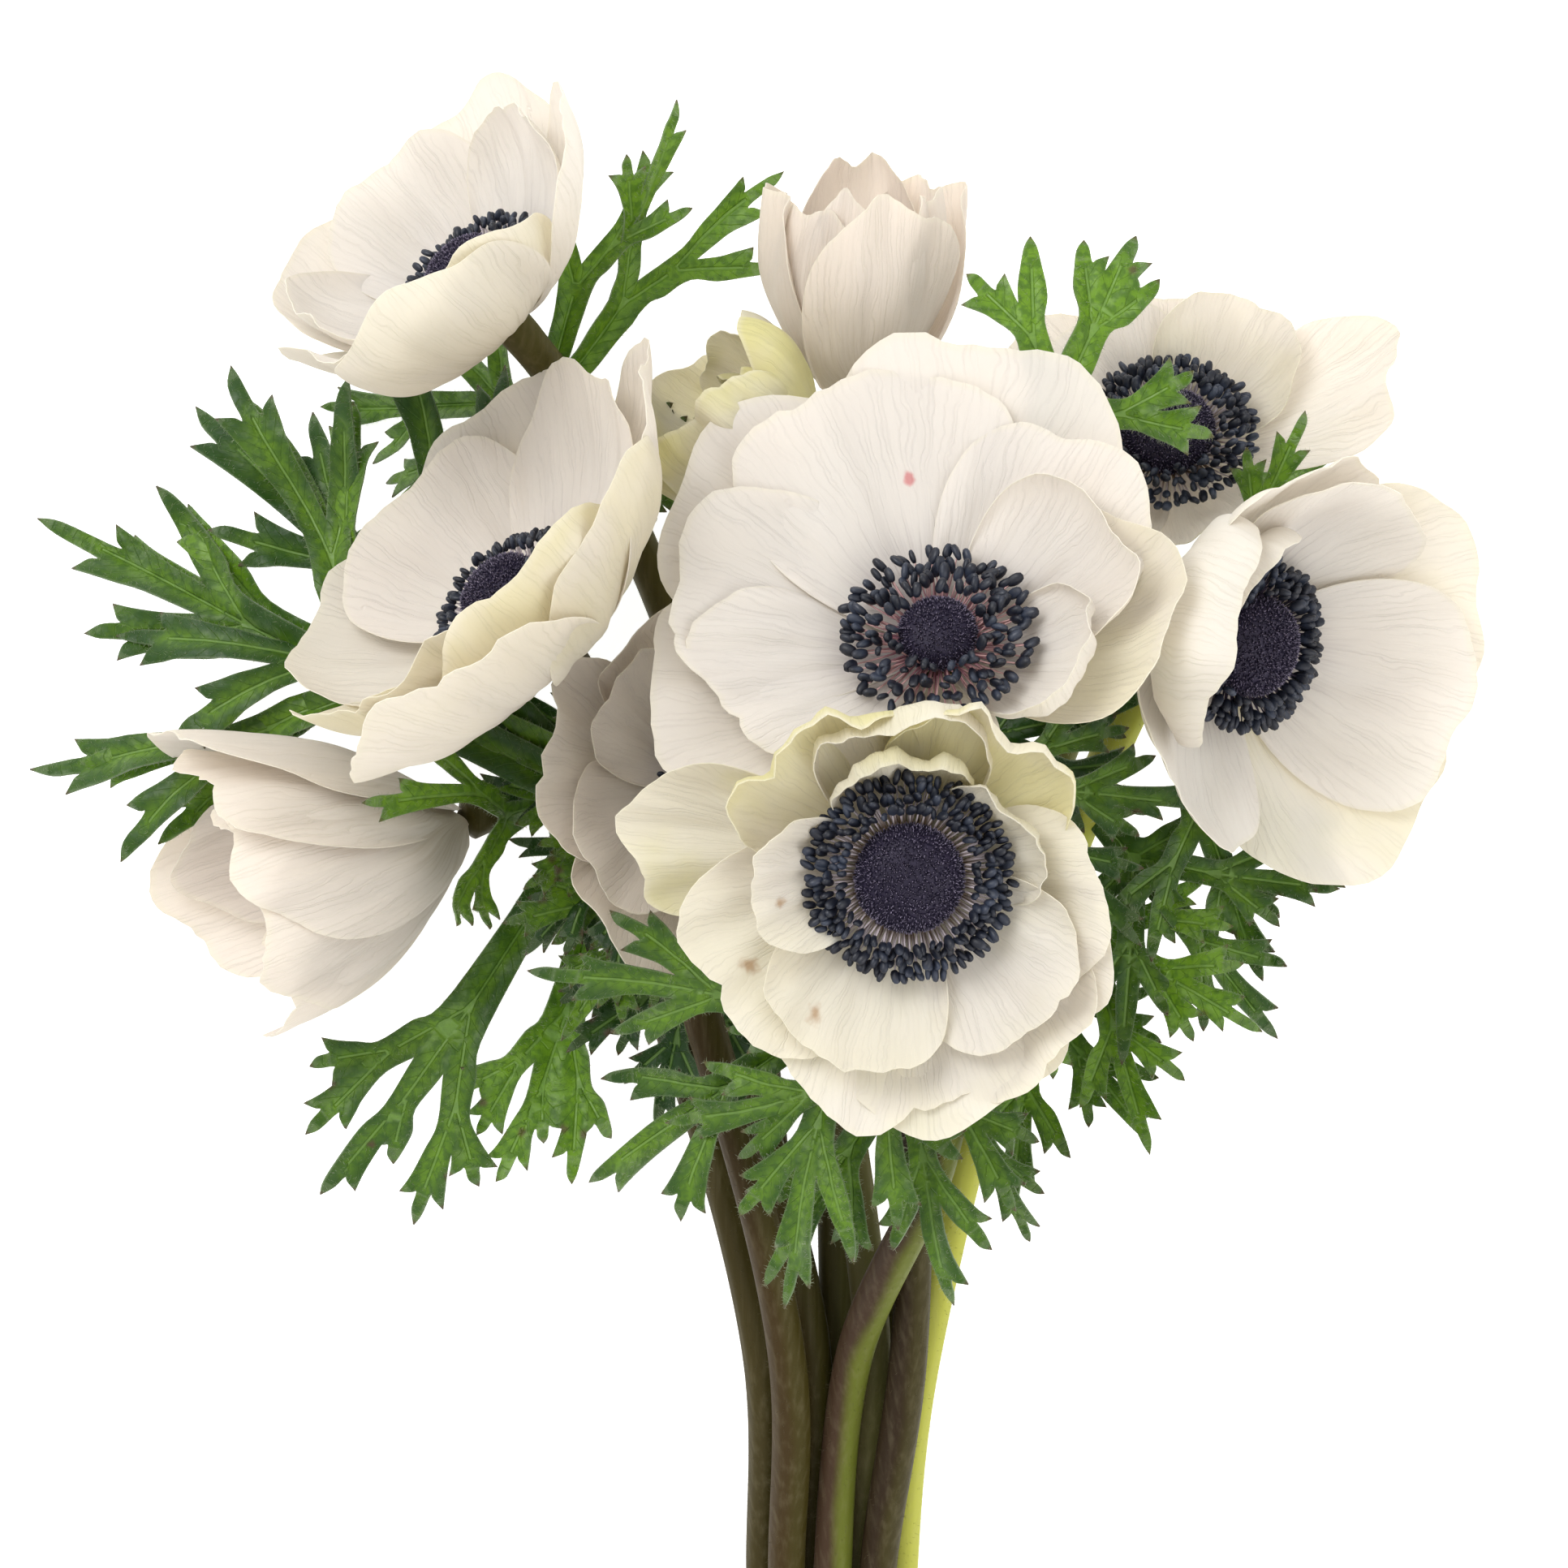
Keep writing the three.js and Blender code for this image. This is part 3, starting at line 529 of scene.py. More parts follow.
PETAL_VEINS = ((9, 0.0), (18, 0.22), (37, 0.5))
PETAL_TONES = {
    "cream": (0.93, 0.908, 0.885), "dull_cream": (0.9, 0.858, 0.815), "strand": (0.8, 0.77, 0.74),
    "root": (0.6, 0.55, 0.58), "green_root": (0.78, 0.73, 0.54), "back_root": (0.5, 0.44, 0.33),
    "back": (0.84, 0.81, 0.7), "yellow_green": (0.8, 0.76, 0.38), "pink": (0.86, 0.72, 0.63),
    "grey": (0.56, 0.49, 0.41), "vein": (0.55, 0.5, 0.52), "back_vein": (0.62, 0.58, 0.4),
    "rim": (0.9, 0.87, 0.75), "bruise": (0.5, 0.3, 0.14), "red_mark": (0.75, 0.2, 0.22),
    "glow": (1.0, 0.93, 0.81),
}


def petal_base(s, v, outer, cloud, strands):
    """Cream with a darker root, in other tones inside the bowl than on its back."""
    tone = PETAL_TONES
    cream = s.mix(cloud, tone["dull_cream"], tone["cream"])
    cream = s.mix(s.rise(strands, 0.5, 0.85, 0.0, 0.3), cream, tone["strand"])
    root = s.mix(s.times(s.attribute("green"), 1.6), tone["root"], tone["green_root"])
    streaky = s.plus(v, s.swing(strands, 0.5))
    inside = s.mix(s.rise(streaky, 0.05, 0.5), root, cream)
    back = s.mix(0.25, cream, tone["back"])
    return s.mix(outer, inside, s.mix(s.rise(streaky, 0.0, 0.55), tone["back_root"], back))


def petal_tint(s, colour, v, outer, cloud):
    """The yellow-green, pink and painted shade that the attributes of a petal ask for."""
    tone = PETAL_TONES
    leafy = s.times(s.attribute("green"), s.rise(cloud, 0.32, 0.62, 0.3, 1.0))
    leafy = s.times(leafy, s.rise(v, 0.02, 0.3, 0.7, 1.0))
    leafy = s.times(leafy, s.plus(s.times(outer, 0.35), 0.65))
    colour = s.mix(leafy, colour, tone["yellow_green"])
    colour = s.mix(s.times(s.attribute("pink"), 0.45), colour, tone["pink"])
    # Painted shade: the petals are darkened towards a grey-brown, most on the blooms that lie in shade.
    return s.mix(s.times(s.attribute("grey"), 0.6), colour, tone["grey"])


def petal_material():
    s = Shader("creamy_petal")
    tone = PETAL_TONES
    u, v = s.uv()
    outer = s.attribute("outer")
    cloud = s.noise(s.position(), 45.0, 3.0)
    fine = s.noise(s.position(), 260.0, 3.0)
    strands = petal_noise(s, u, v, 80.0, 3.0, 3.0)
    veins = veins_of(s, u, v, PETAL_VEINS, 0.11)
    colour = petal_tint(s, petal_base(s, v, outer, cloud, strands), v, outer, cloud)
    faint = s.times(veins, s.rise(v, 0.1, 0.8, 0.42, 0.1))
    colour = s.mix(faint, colour, s.mix(outer, tone["vein"], tone["back_vein"]))
    colour = s.mix(s.rise(v, 0.965, 0.995, 0.0, 0.4), colour, tone["rim"])
    mark = s.mix(s.attribute("mark_red"), tone["bruise"], tone["red_mark"])
    colour = s.mix(mark_of(s, u, v, fine), colour, mark)
    height = s.plus(s.times(veins, -0.7), s.times(fine, 0.3))
    height = s.plus(height, s.times(strands, 0.9))
    glow = s.mix(0.4, colour, tone["glow"])
    return s.surface(colour, s.rise(fine, 0.3, 0.7, 0.5, 0.64), s.bump(height, 0.4, 0.0004), glow, 0.4,
                     Specular_IOR_Level=0.3, Sheen_Weight=0.1, Sheen_Roughness=0.4)


def dome_material():
    s = Shader("violet_black_dome")
    cloud = s.noise(s.position(), 600.0, 2.0)
    colour = s.mix(cloud, (0.008, 0.006, 0.018), (0.03, 0.022, 0.05))
    return s.surface(colour, 0.6, s.bump(cloud, 0.4, 0.0002), Specular_IOR_Level=0.3)


def bristle_material(name, dark, light):
    """Dark at the foot. At the tip each bristle has its own tone between the two colours."""
    s = Shader(name)
    own = s.mix(s.attribute("shade"), dark, light)
    grain = s.noise(s.position(), 900.0, 2.0)
    end = s.mix(s.times(grain, 0.3), own, dark)
    colour = s.mix(s.rise(s.attribute("tip"), 0.35, 0.95), dark, end)
    return s.surface(colour, 0.55, Specular_IOR_Level=0.3)


def anther_material():
    s = Shader("blue_black_anther")
    grain = s.noise(s.position(), 1400.0, 3.0)
    patch = s.noise(s.position(), 240.0, 2.0)
    colour = s.mix(s.rise(patch, 0.4, 0.75), (0.008, 0.01, 0.019), (0.034, 0.044, 0.072))
    return s.surface(colour, s.rise(grain, 0.3, 0.7, 0.36, 0.55), s.bump(grain, 0.35, 0.0001),
                     Specular_IOR_Level=0.5)


def filament_material(name, root, end):
    s = Shader(name)
    cloud = s.noise(s.position(), 900.0, 2.0)
    colour = s.mix(s.rise(s.attribute("tip"), 0.2, 0.75), root, s.mix(s.times(cloud, 0.4), end, root))
    return s.surface(colour, 0.42, s.bump(cloud, 0.2, 0.0001), Specular_IOR_Level=0.4)


LEAF_TONES = {
    "shaded": (0.013, 0.055, 0.005), "lit": (0.17, 0.33, 0.018), "speck": (0.02, 0.075, 0.01),
    "vein": (0.22, 0.38, 0.09), "under": (0.12, 0.19, 0.1), "under_lit": (0.19, 0.27, 0.15),
    "under_vein": (0.3, 0.4, 0.22), "rim": (0.34, 0.42, 0.24), "tip": (0.1, 0.04, 0.03),
    "glow": (0.36, 0.62, 0.03),
}


def leaf_veins(s, place, rib):
    """The ribs, and fainter veins that leave them at a slant."""
    waver = s.times(s.noise(place, 300.0, 1.0), 1.6)
    slant = s.minus(s.times(s.attribute("along"), 1.25), s.times(rib, 1.5))
    feather = s.math("ABSOLUTE", s.math("SINE", s.plus(slant, waver)))
    side_vein = s.rise(feather, 0.0, 0.16, 1.0, 0.0)
    midrib = s.rise(rib, 0.12, 0.42, 1.0, 0.0)
    return s.math("MAXIMUM", midrib, s.times(side_vein, 0.45))


def leaf_material():
    s = Shader("cut_leaf")
    tone = LEAF_TONES
    place = s.position()
    cloud = s.noise(place, 70.0, 4.0)
    cells = s.noise(place, 700.0, 2.0)
    rib, bright = s.attribute("rib"), s.attribute("bright")
    veins = leaf_veins(s, place, rib)
    # Painted light and shade: every leaf has its own amount of painted light, which also tints its glow.
    lit = s.plus(s.times(cloud, 1.1), s.times(bright, 0.5))
    # Painted light: each lobe is lighter near its rib, as if lit through from behind.
    lit = s.plus(lit, s.rise(rib, 0.2, 2.6, 0.3, 0.0))
    top = s.mix(s.rise(lit, 0.4, 1.4), tone["shaded"], tone["lit"])
    top = s.mix(s.rise(cells, 0.42, 0.62, 0.0, 0.5), top, tone["speck"])
    top = s.mix(s.times(veins, 0.6), top, tone["vein"])
    under = s.mix(cloud, tone["under"], tone["under_lit"])
    under = s.mix(s.times(veins, 0.6), under, tone["under_vein"])
    colour = s.mix(s.attribute("under"), top, under)
    colour = s.mix(s.rise(s.attribute("rim"), 0.02, 0.3, 0.2, 0.0), colour, tone["rim"])
    colour = s.mix(s.rise(s.attribute("point"), 0.3, 1.3, 0.75, 0.0), colour, tone["tip"])
    height = s.plus(s.times(cells, 0.7), s.times(veins, -1.0))
    glow = s.mix(s.rise(bright, 0.2, 0.9, 0.35, 0.8), colour, tone["glow"])
    return s.surface(colour, s.rise(cells, 0.3, 0.7, 0.34, 0.52), s.bump(height, 0.7, 0.0004), glow, 0.26,
                     Specular_IOR_Level=0.45)


def stalk_material():
    """Two tones, left and right, with pale streaks along the stalk."""
    s = Shader("ribbed_stalk")
    place = s.position()
    left = s.node("ShaderNodeAttribute", attribute_name="tone_left").outputs["Color"]
    right = s.node("ShaderNodeAttribute", attribute_name="tone_right").outputs["Color"]
    stretched = s.node("ShaderNodeMapping", {"Vector": place, "Scale": (1.0, 0.03, 1.0)}).outputs[0]
    streak = s.noise(stretched, 900.0, 3.0)
    side = s.plus(s.attribute("left"), s.swing(s.noise(place, 45.0, 3.0), 0.5))
    colour = s.mix(s.rise(side, 0.3, 0.7), right, left)
    pale = s.mix(0.35, colour, (0.35, 0.3, 0.18))
    colour = s.mix(s.rise(streak, 0.4, 0.8, 0.0, 0.3), colour, pale)
    height = s.plus(s.times(streak, 0.8), s.times(s.noise(place, 1200.0, 2.0), 0.3))
    return s.surface(colour, 0.55, s.bump(height, 0.25, 0.0003), Specular_IOR_Level=0.12)


def band_material():
    s = Shader("tan_rubber")
    grain = s.noise(s.position(), 900.0, 3.0)
    cloud = s.noise(s.position(), 120.0, 2.0)
    colour = s.mix(cloud, (0.5, 0.3, 0.13), (0.6, 0.39, 0.19))
    return s.surface(colour, s.rise(grain, 0.3, 0.7, 0.5, 0.68), s.bump(grain, 0.3, 0.0002))


def floor_material():
    s = Shader("pale_floor")
    cloud = s.noise(s.position(), 6.0, 2.0)
    colour = s.mix(cloud, (0.9, 0.9, 0.9), (0.93, 0.93, 0.93))
    return s.surface(colour, 0.85, Specular_IOR_Level=0.1, Emission_Color=(1.0, 1.0, 1.0),
                     Emission_Strength=0.75)


# ---- Geometry Nodes ----
class Growth(Steps):
    """A Geometry Nodes tree that grows things on a piece and leaves them as its plain mesh."""

    def __init__(self, name, **inputs):
        super().__init__(bpy.data.node_groups.new(name, "GeometryNodeTree"))
        self.sockets = {}
        face = self.tree.interface
        face.new_socket("Geometry", in_out="INPUT", socket_type="NodeSocketGeometry")
        for label, (kind, value) in inputs.items():
            socket = face.new_socket(label, in_out="INPUT", socket_type=kind)
            self.sockets[label] = (socket.identifier, value)
        face.new_socket("Geometry", in_out="OUTPUT", socket_type="NodeSocketGeometry")
        self.start = self.tree.nodes.new("NodeGroupInput")
        self.end = self.tree.nodes.new("NodeGroupOutput")

    def named(self, name, kind="FLOAT"):
        return self.node("GeometryNodeInputNamedAttribute", {"Name": name}, data_type=kind).outputs[0]

    def between(self, low, high, kind="FLOAT", seed=0):
        """A random value. Each kind has its own sockets for the low and the high end and for the result."""
        low_at, high_at, result = {"FLOAT": (2, 3, 1), "FLOAT_VECTOR": (0, 1, 0)}[kind]
        inputs = {"Seed": seed, low_at: low, high_at: high}
        return self.node("FunctionNodeRandomValue", inputs, data_type=kind).outputs[result]

    def close(self, geometry_socket):
        """Ends the tree: the instances are made real and take their material."""
        real = self.node("GeometryNodeRealizeInstances", {0: geometry_socket})
        inputs = {"Geometry": real.outputs[0], "Material": self.start.outputs["Material"]}
        dressed = self.node("GeometryNodeSetMaterial", inputs)
        self.tree.links.new(dressed.outputs[0], self.end.inputs[0])

    def grow(self, piece, **values):
        modifier = piece.modifiers.new(self.tree.name, "NODES")
        modifier.node_group = self.tree
        for label, (identifier, value) in self.sockets.items():
            modifier[identifier] = values.get(label, value)
        graph = bpy.context.evaluated_depsgraph_get()
        mesh = bpy.data.meshes.new_from_object(piece.evaluated_get(graph), depsgraph=graph)
        piece.modifiers.clear()
        piece.data = mesh


FLOAT, INT, MATERIAL, OBJECT = (
    "NodeSocketFloat", "NodeSocketInt", "NodeSocketMaterial", "NodeSocketObject",
)
FULL_TURN = 6.28


def marked_cone(g, sides):
    """A cone with the attribute "tip", from 0 at its foot to 1 at its point."""
    start = g.start.outputs
    cone = g.node("GeometryNodeMeshCone", {
        "Vertices": sides, "Side Segments": 1, "Fill Segments": 1, "Radius Top": 0.0,
        "Radius Bottom": start["Radius"], "Depth": start["Height"],
    }, fill_type="NGON")
    height = g.node("ShaderNodeSeparateXYZ", {0: g.node("GeometryNodeInputPosition").outputs[0]})
    share = g.node("ShaderNodeMath", {0: height.outputs[2], 1: start["Height"]}, operation="DIVIDE")
    return g.node("GeometryNodeStoreNamedAttribute", {
        "Geometry": cone.outputs[0], "Name": "tip", "Value": share.outputs[0],
    }, data_type="FLOAT", domain="POINT").outputs[0]


def bristle_growth(name, sides, lean):
    """Short cones that stand on the faces of a piece where its attribute "bare" is zero."""
    g = Growth(name, Density=(FLOAT, 4e6), Height=(FLOAT, 0.0007), Radius=(FLOAT, 0.0001), Seed=(INT, 1),
               Material=(MATERIAL, None))
    start = g.start.outputs
    clothed = g.node("FunctionNodeCompare", {0: g.named("bare"), 1: 0.02},
                     data_type="FLOAT", operation="LESS_THAN")
    spread = g.node("GeometryNodeDistributePointsOnFaces", {
        "Mesh": start["Geometry"], "Density": start["Density"], "Seed": start["Seed"],
        "Selection": clothed.outputs[0],
    })
    shaded = g.node("GeometryNodeStoreNamedAttribute", {
        "Geometry": spread.outputs[0], "Name": "shade", "Value": g.between(0.0, 1.0, seed=9),
    }, data_type="FLOAT", domain="POINT")
    turn = g.between((-lean, -lean, 0.0), (lean, lean, FULL_TURN), "FLOAT_VECTOR", 3)
    turned = g.node("FunctionNodeRotateRotation", {
        "Rotation": spread.outputs["Rotation"], "Rotate By": turn,
    }, rotation_space="LOCAL")
    placed = g.node("GeometryNodeInstanceOnPoints", {
        "Points": shaded.outputs[0], "Instance": marked_cone(g, sides), "Rotation": turned.outputs[0],
        "Scale": g.between(0.7, 1.35, seed=5),
    })
    g.close(placed.outputs[0])
    return g


def anther_growth():
    """One anther on every point, aimed and sized by the point."""
    g = Growth("Anthers", Anther=(OBJECT, None), Material=(MATERIAL, None))
    start = g.start.outputs
    shape = g.node("GeometryNodeObjectInfo", {"Object": start["Anther"]}, transform_space="ORIGINAL")
    aimed = g.node("FunctionNodeAlignRotationToVector", {"Vector": g.named("aim", "FLOAT_VECTOR")}, axis="Z")
    spin = g.node("ShaderNodeCombineXYZ", {2: g.named("spin")})
    turned = g.node("FunctionNodeRotateRotation", {
        "Rotation": aimed.outputs[0], "Rotate By": spin.outputs[0],
    }, rotation_space="LOCAL")
    placed = g.node("GeometryNodeInstanceOnPoints", {
        "Points": start["Geometry"], "Instance": shape.outputs["Geometry"], "Rotation": turned.outputs[0],
        "Scale": g.named("size"),
    })
    g.close(placed.outputs[0])
    return g


def strand_growth():
    """A tapered strand along every line of edges: filaments and hairs."""
    g = Growth("Strands", Radius=(FLOAT, 0.0002), Sides=(INT, 5), Material=(MATERIAL, None))
    start = g.start.outputs
    line = g.node("GeometryNodeMeshToCurve", {"Mesh": start["Geometry"]})
    section = g.node("GeometryNodeCurvePrimitiveCircle", {
        "Resolution": start["Sides"], "Radius": start["Radius"],
    })
    swept = g.node("GeometryNodeCurveToMesh", {
        "Curve": line.outputs[0], "Profile Curve": section.outputs[0], "Fill Caps": True,
    })
    if "Scale" in swept.inputs:
        g.tree.links.new(g.named("thick"), swept.inputs["Scale"])
    round_strand = g.node("GeometryNodeSetShadeSmooth", {0: swept.outputs[0]})
    g.close(round_strand.outputs[0])
    return g


def points_mesh(name, points, edges=(), **attributes):
    """Loose points, and edges between them, that a growth starts from."""
    mesh = bpy.data.meshes.new(name)
    mesh.from_pydata(((np.asarray(points, float) - ORIGIN) / MM_PER_M).tolist(), list(edges), [])
    for key, values in attributes.items():
        values = np.asarray(values, np.float32)
        if values.ndim == 2:
            mesh.attributes.new(key, "FLOAT_VECTOR", "POINT").data.foreach_set("vector", values.ravel())
        else:
            mesh.attributes.new(key, "FLOAT", "POINT").data.foreach_set("value", values)
    return linked(name, mesh)


# ---- Places of the flowers ----
def face_axes(flower):
    """The bloom's own x, y and z as rows, and the middle of its eye."""
    axis = np.array(flower["faces"], float)
    axis /= np.linalg.norm(axis)
    up = np.array([0.0, 1.0, 0.0]) - axis * axis[1]
    up /= np.linalg.norm(up)
    return np.stack([np.cross(up, axis), up, axis]), np.array(flower["at"], float)


def placed(flower, points):
    axes, at = face_axes(flower)
    return np.asarray(points, float) @ axes + at


def levels_of(flower):
    """Height of the foot of the knob and of its top, along the bloom's axis."""
    levels = [row[3] for row in flower["petals"]]
    return min(levels) * LEVEL_STEP - ROOT_DEPTH - KNOB_BELOW, max(levels) * LEVEL_STEP - ROOT_DEPTH + 1


# ---- Petals ----
RIM_CROWDING = 0.35
SIDE_REACH = 0.99


def bowl_sheet(flower, row, turned, distance, along, lift, roll):
    """A petal's points on the bowl round its eye. Its rim rolls in by roll. lift is off the bowl."""
    root_rise, tip_rise, lean_at, lean = flower["bowl"]
    _, length, _, level, extra = row
    start = math.radians(root_rise)
    end = np.radians(tip_rise + extra + lean * np.cos(turned - math.radians(lean_at)))
    angle = start + (end - start) / length * distance + roll * smooth_step(0.66, 1.08, along)
    step = np.diff(distance, axis=0)
    middle = (angle[1:] + angle[:-1]) / 2
    inward = lift + level * LEVEL_STEP
    out = ROOT_RADIUS + np.pad(np.cumsum(np.cos(middle) * step, axis=0), ((1, 0), (0, 0)))
    up = np.pad(np.cumsum(np.sin(middle) * step, axis=0), ((1, 0), (0, 0))) - ROOT_DEPTH
    out = out - np.sin(angle) * inward
    up = up + np.cos(angle) * inward
    return np.stack([out * np.cos(turned), out * np.sin(turned), up], -1)


def petal_grid(rows, columns):
    """How far the points of a grid are along a petal and across it. They crowd at the rim and the sides."""
    steps = np.linspace(0, 1, rows + 1)
    along = (steps * (1 + RIM_CROWDING * (1 - steps)))[:, None]
    across = SIDE_REACH * np.sin(np.pi * (np.linspace(0, 1, columns + 1) - 0.5))[None, :]
    return np.broadcast_arrays(along, across)


def petal_reach(a, across, length, seed, own):
    """How far a petal reaches at each place across it: round, with ripples, a frill, a notch and a slant."""
    ripple = np.sin(a * 5 + seed * 6) - np.cos(a * 8 + seed * 11)
    frill = 0.006 * np.sin(17 * a + 9 * own[0]) * own[4] + 0.005 * np.sin(41 * a + 20 * own[1]) * own[2]
    notch = 0.045 * own[2] ** 2 * np.exp(-(((a - 0.9 * (own[3] - 0.5)) / 0.06) ** 2))
    slant = 0.09 * (own[9] - 0.5) * a
    return length * (1 - np.abs(across) ** 3.0) ** 0.5 * (1 + 0.024 * ripple + frill - notch + slant)


def petal_folds(a, across, along, own, ruffle):
    """The fold in the middle of a petal, its waves and the ruffles at its rim. All fade out at the sides."""
    inner = 1 - np.abs(across) ** 4
    folds = -0.6 * np.exp(-((a / 0.12) ** 2)) * along * (1.15 - along) * 2 * (own[3] > 0.35)
    # Height, turns across and along, offset, and the shares of the length where a wave sets in and is full.
    waves = (
        (0.14, 24 + 8 * own[4], 0.0, 9 * own[5], 0.05, 0.5),
        (0.5, 6.0, 3.2, 11 * own[5], 0.1, 0.6),
        (0.4, 11 * (own[2] + 0.5), -5.0, 9 * own[7], 0.2, 0.7),
        (0.3, 5 * own[0], 9.0, 20 * own[3], 0.3, 0.8),
        (0.75 * ruffle, 5 + 4 * own[7], 0.0, 15 * own[0], 0.45, 1.05),
        (0.3 * ruffle, 10 + 7 * own[1], 0.0, 9 * own[4], 0.45, 1.05),
        (0.165 * ruffle, 22 + 8 * own[2], 5.0, 9 * own[6], 0.45, 1.05),
    )
    for height, over, on, offset, start, full in waves:
        folds = folds + height * np.sin(over * a + on * along + offset) * smooth_step(start, full, along)
    return folds * inner


def petal_sheet(flower, row, first, i, rows, columns):
    """A fine grid of points on one petal, with how far each is along it and across it."""
    compass, length, half, level, _ = row
    seed, wave, cup = draw(first + i), 0.3 + 0.6 * draw(first + i + 7), level * draw(first + i + 13)
    own = [draw(first * 3.7 + i * 11.3 + k * 5.1) for k in range(10)]
    roll, ruffle = flower["folds"].get(i, (34 * (own[8] - 0.5), 0.25 + 0.5 * own[6]))
    along, across = petal_grid(rows, columns)
    a = across * (0.6 + 0.56 * smooth_step(1.5, length / 2.4, along * length))
    reach = petal_reach(a, across, length, seed, own)
    lift = SHINGLE * a + cup * along * a * a + wave * along ** 3 * np.sin(a * 4.2 + seed * 20)
    lift = lift + petal_folds(a, across, along, own, ruffle)
    turned = np.radians(compass + half * a)
    return bowl_sheet(flower, row, turned, reach * along, along, lift, math.radians(roll)), along, across


NO_MARK = (-9.0, -9.0, 0.0)


def make_blooms(settings):
    material = petal_material()
    for order, (name, flower) in enumerate(FLOWERS.items()):
        parts = Parts("u", "v", "outer", "green", "grey", "pink", "seed", "mark_u", "mark_v", "mark_red")
        green, grey, pink = flower["tint"]
        for i, row in enumerate(flower["petals"] + flower.get("more", [])):
            sheet, along, across = petal_sheet(flower, row, order * 20, i, settings.rows, settings.columns)
            edge = np.maximum(along, np.abs(across))
            thickness = MM_PER_M * settings.thickness * (1.15 - 0.75 * smooth_step(0.5, 1.0, edge))
            points, faces, side = grid_blade(placed(flower, sheet), thickness)
            outer = np.concatenate([np.zeros(side), np.ones(side)])
            mark_u, mark_v, mark_red = flower.get("marks", {}).get(i, NO_MARK)
            parts.add(points, faces, u=np.tile((across.ravel() + 1) / 2, 2), v=np.tile(along.ravel(), 2),
                      outer=outer, green=flower["greener"].get(i, green), grey=grey, pink=pink,
                      seed=draw(order * 31 + i) * 20, mark_u=mark_u, mark_v=mark_v, mark_red=mark_red)
        piece = parts.piece(name + "_bloom", material, uv=("u", "v"), sharp=75)
        finished(piece, name + "_petals")


# ---- Eyes ----
DOME_HEIGHT = 0.76
DOME_STEPS = 11
DOME_SIDES = 40
SKIRT_Z = -1.4


def dome_profile(radius, foot):
    """From the foot on the knob outward to the skirt, and from there up over the dome."""
    height = radius * DOME_HEIGHT
    profile = [(0, foot), (min(2.4, radius * 0.4), foot)]
    profile += [(radius * (0.55 + 0.35 * t), foot + (SKIRT_Z - foot) * t) for t in (0.6, 0.85, 1.0)]
    for step in range(DOME_STEPS):
        angle = math.pi / 2 * step / DOME_STEPS
        profile.append((radius * math.cos(angle) ** 0.8, 1 + (height - 1) * math.sin(angle)))
    return profile + [(0, height)]


def make_domes(settings):
    growth = bristle_growth("Dome_bristles", 4, 0.35)
    material = dome_material()
    violet = bristle_material("violet_bristle", (0.012, 0.009, 0.026), (0.52, 0.45, 0.62))
    for order, (name, flower) in enumerate(FLOWERS.items()):
        radius = flower["eye"][0]
        points, faces = lathe(dome_profile(radius, levels_of(flower)[1] + GAP), DOME_SIDES)
        ripple = 1 + 0.012 * np.sin(points[:, 0] * 2.1 + order) * np.cos(points[:, 1] * 1.7)
        points = points * np.stack([ripple, ripple, np.ones(len(points))], -1)
        parts = Parts("bare")
        parts.add(placed(flower, points), faces, bare=(points[:, 2] < 0.4).astype(float))
        piece = parts.piece(name + "_dome", material)
        finished(piece, name + "_eye")
        bristles = linked(name + "_bristles", piece.data.copy())
        growth.grow(bristles, Density=settings.bristles * MM_PER_M ** 2, Height=settings.bristle_height,
                    Radius=settings.bristle_height * 0.3, Seed=order + 1, Material=violet)
        finished(bristles, name + "_eye")


def anther_template():
    """A bean with a groove along its front, its length on z."""
    sides, rings = 8, 5
    half_length, depth, width, groove = 1.05, 0.5, 0.66, 0.62
    points = [(0, 0, -half_length)]
    for ring in range(rings):
        angle = math.pi * (ring + 1) / (rings + 1)
        swell = math.sin(angle) ** 0.75
        for k in range(sides):
            turned = 2 * math.pi * k / sides
            front = depth * swell * math.cos(turned) * (groove if k == 0 else 1.0)
            points.append((front, width * swell * math.sin(turned), -half_length * math.cos(angle)))
    points.append((0, 0, half_length))
    points = np.array(points, float)
    mesh = bpy.data.meshes.new("anther_shape")
    faces = outward(points, spindle_faces(sides, rings))
    mesh.from_pydata((points / MM_PER_M).tolist(), [], faces)
    mesh.shade_smooth()
    return linked("anther_shape", mesh)


def stamens_of(flower, order):
    """Root, elbow and tip of each stamen, the way its anther points, and two draws for its size and spin."""
    radius, ring = flower["eye"]
    inmost, rows, spacing, _ = flower["stamens"]
    loose = 1.7 if flower["filaments"] == "pink" else 1.0
    found = []
    for row in range(rows):
        share = row / max(rows - 1, 1)
        reach = inmost + (ring - 0.6 - inmost) * share
        count = int(2 * math.pi * reach / spacing)
        for k in range(count):
            seed = order * 1013 + row * 97 + k * 7.31
            own = [draw(seed + n * 3.7) for n in range(8)]
            compass = 2 * math.pi * (k + 0.5 * row + 0.55 * loose * (own[0] - 0.5)) / count
            out = np.array([math.cos(compass), math.sin(compass), 0.0])
            side = np.array([-out[1], out[0], 0.0])
            tip = out * (reach + loose * 1.1 * (own[1] - 0.5))
            tip[2] = (1 - share) * 2.6 + 0.6 + 1.5 * (own[2] - 0.4)
            root = out * radius * 0.8 + side * (own[3] - 0.5) + np.array([0, 0, -1.6 + own[3]])
            elbow = (root + tip) / 2 + np.array([0, 0, -0.6]) + out * 0.5
            lean = math.radians(20 + 40 * (1 - share) + 50 * (own[4] - 0.5))
            aim = out * math.cos(lean) + np.array([0, 0, math.sin(lean)])
            aim = aim + side * loose * 0.9 * (own[5] - 0.5)
            found.append((root, elbow, tip, aim / np.linalg.norm(aim), own[6], own[7]))
    return found


USUAL_ANTHER = 2.1
FILAMENT_STEPS = (0, 0.25, 0.5, 0.75, 1)


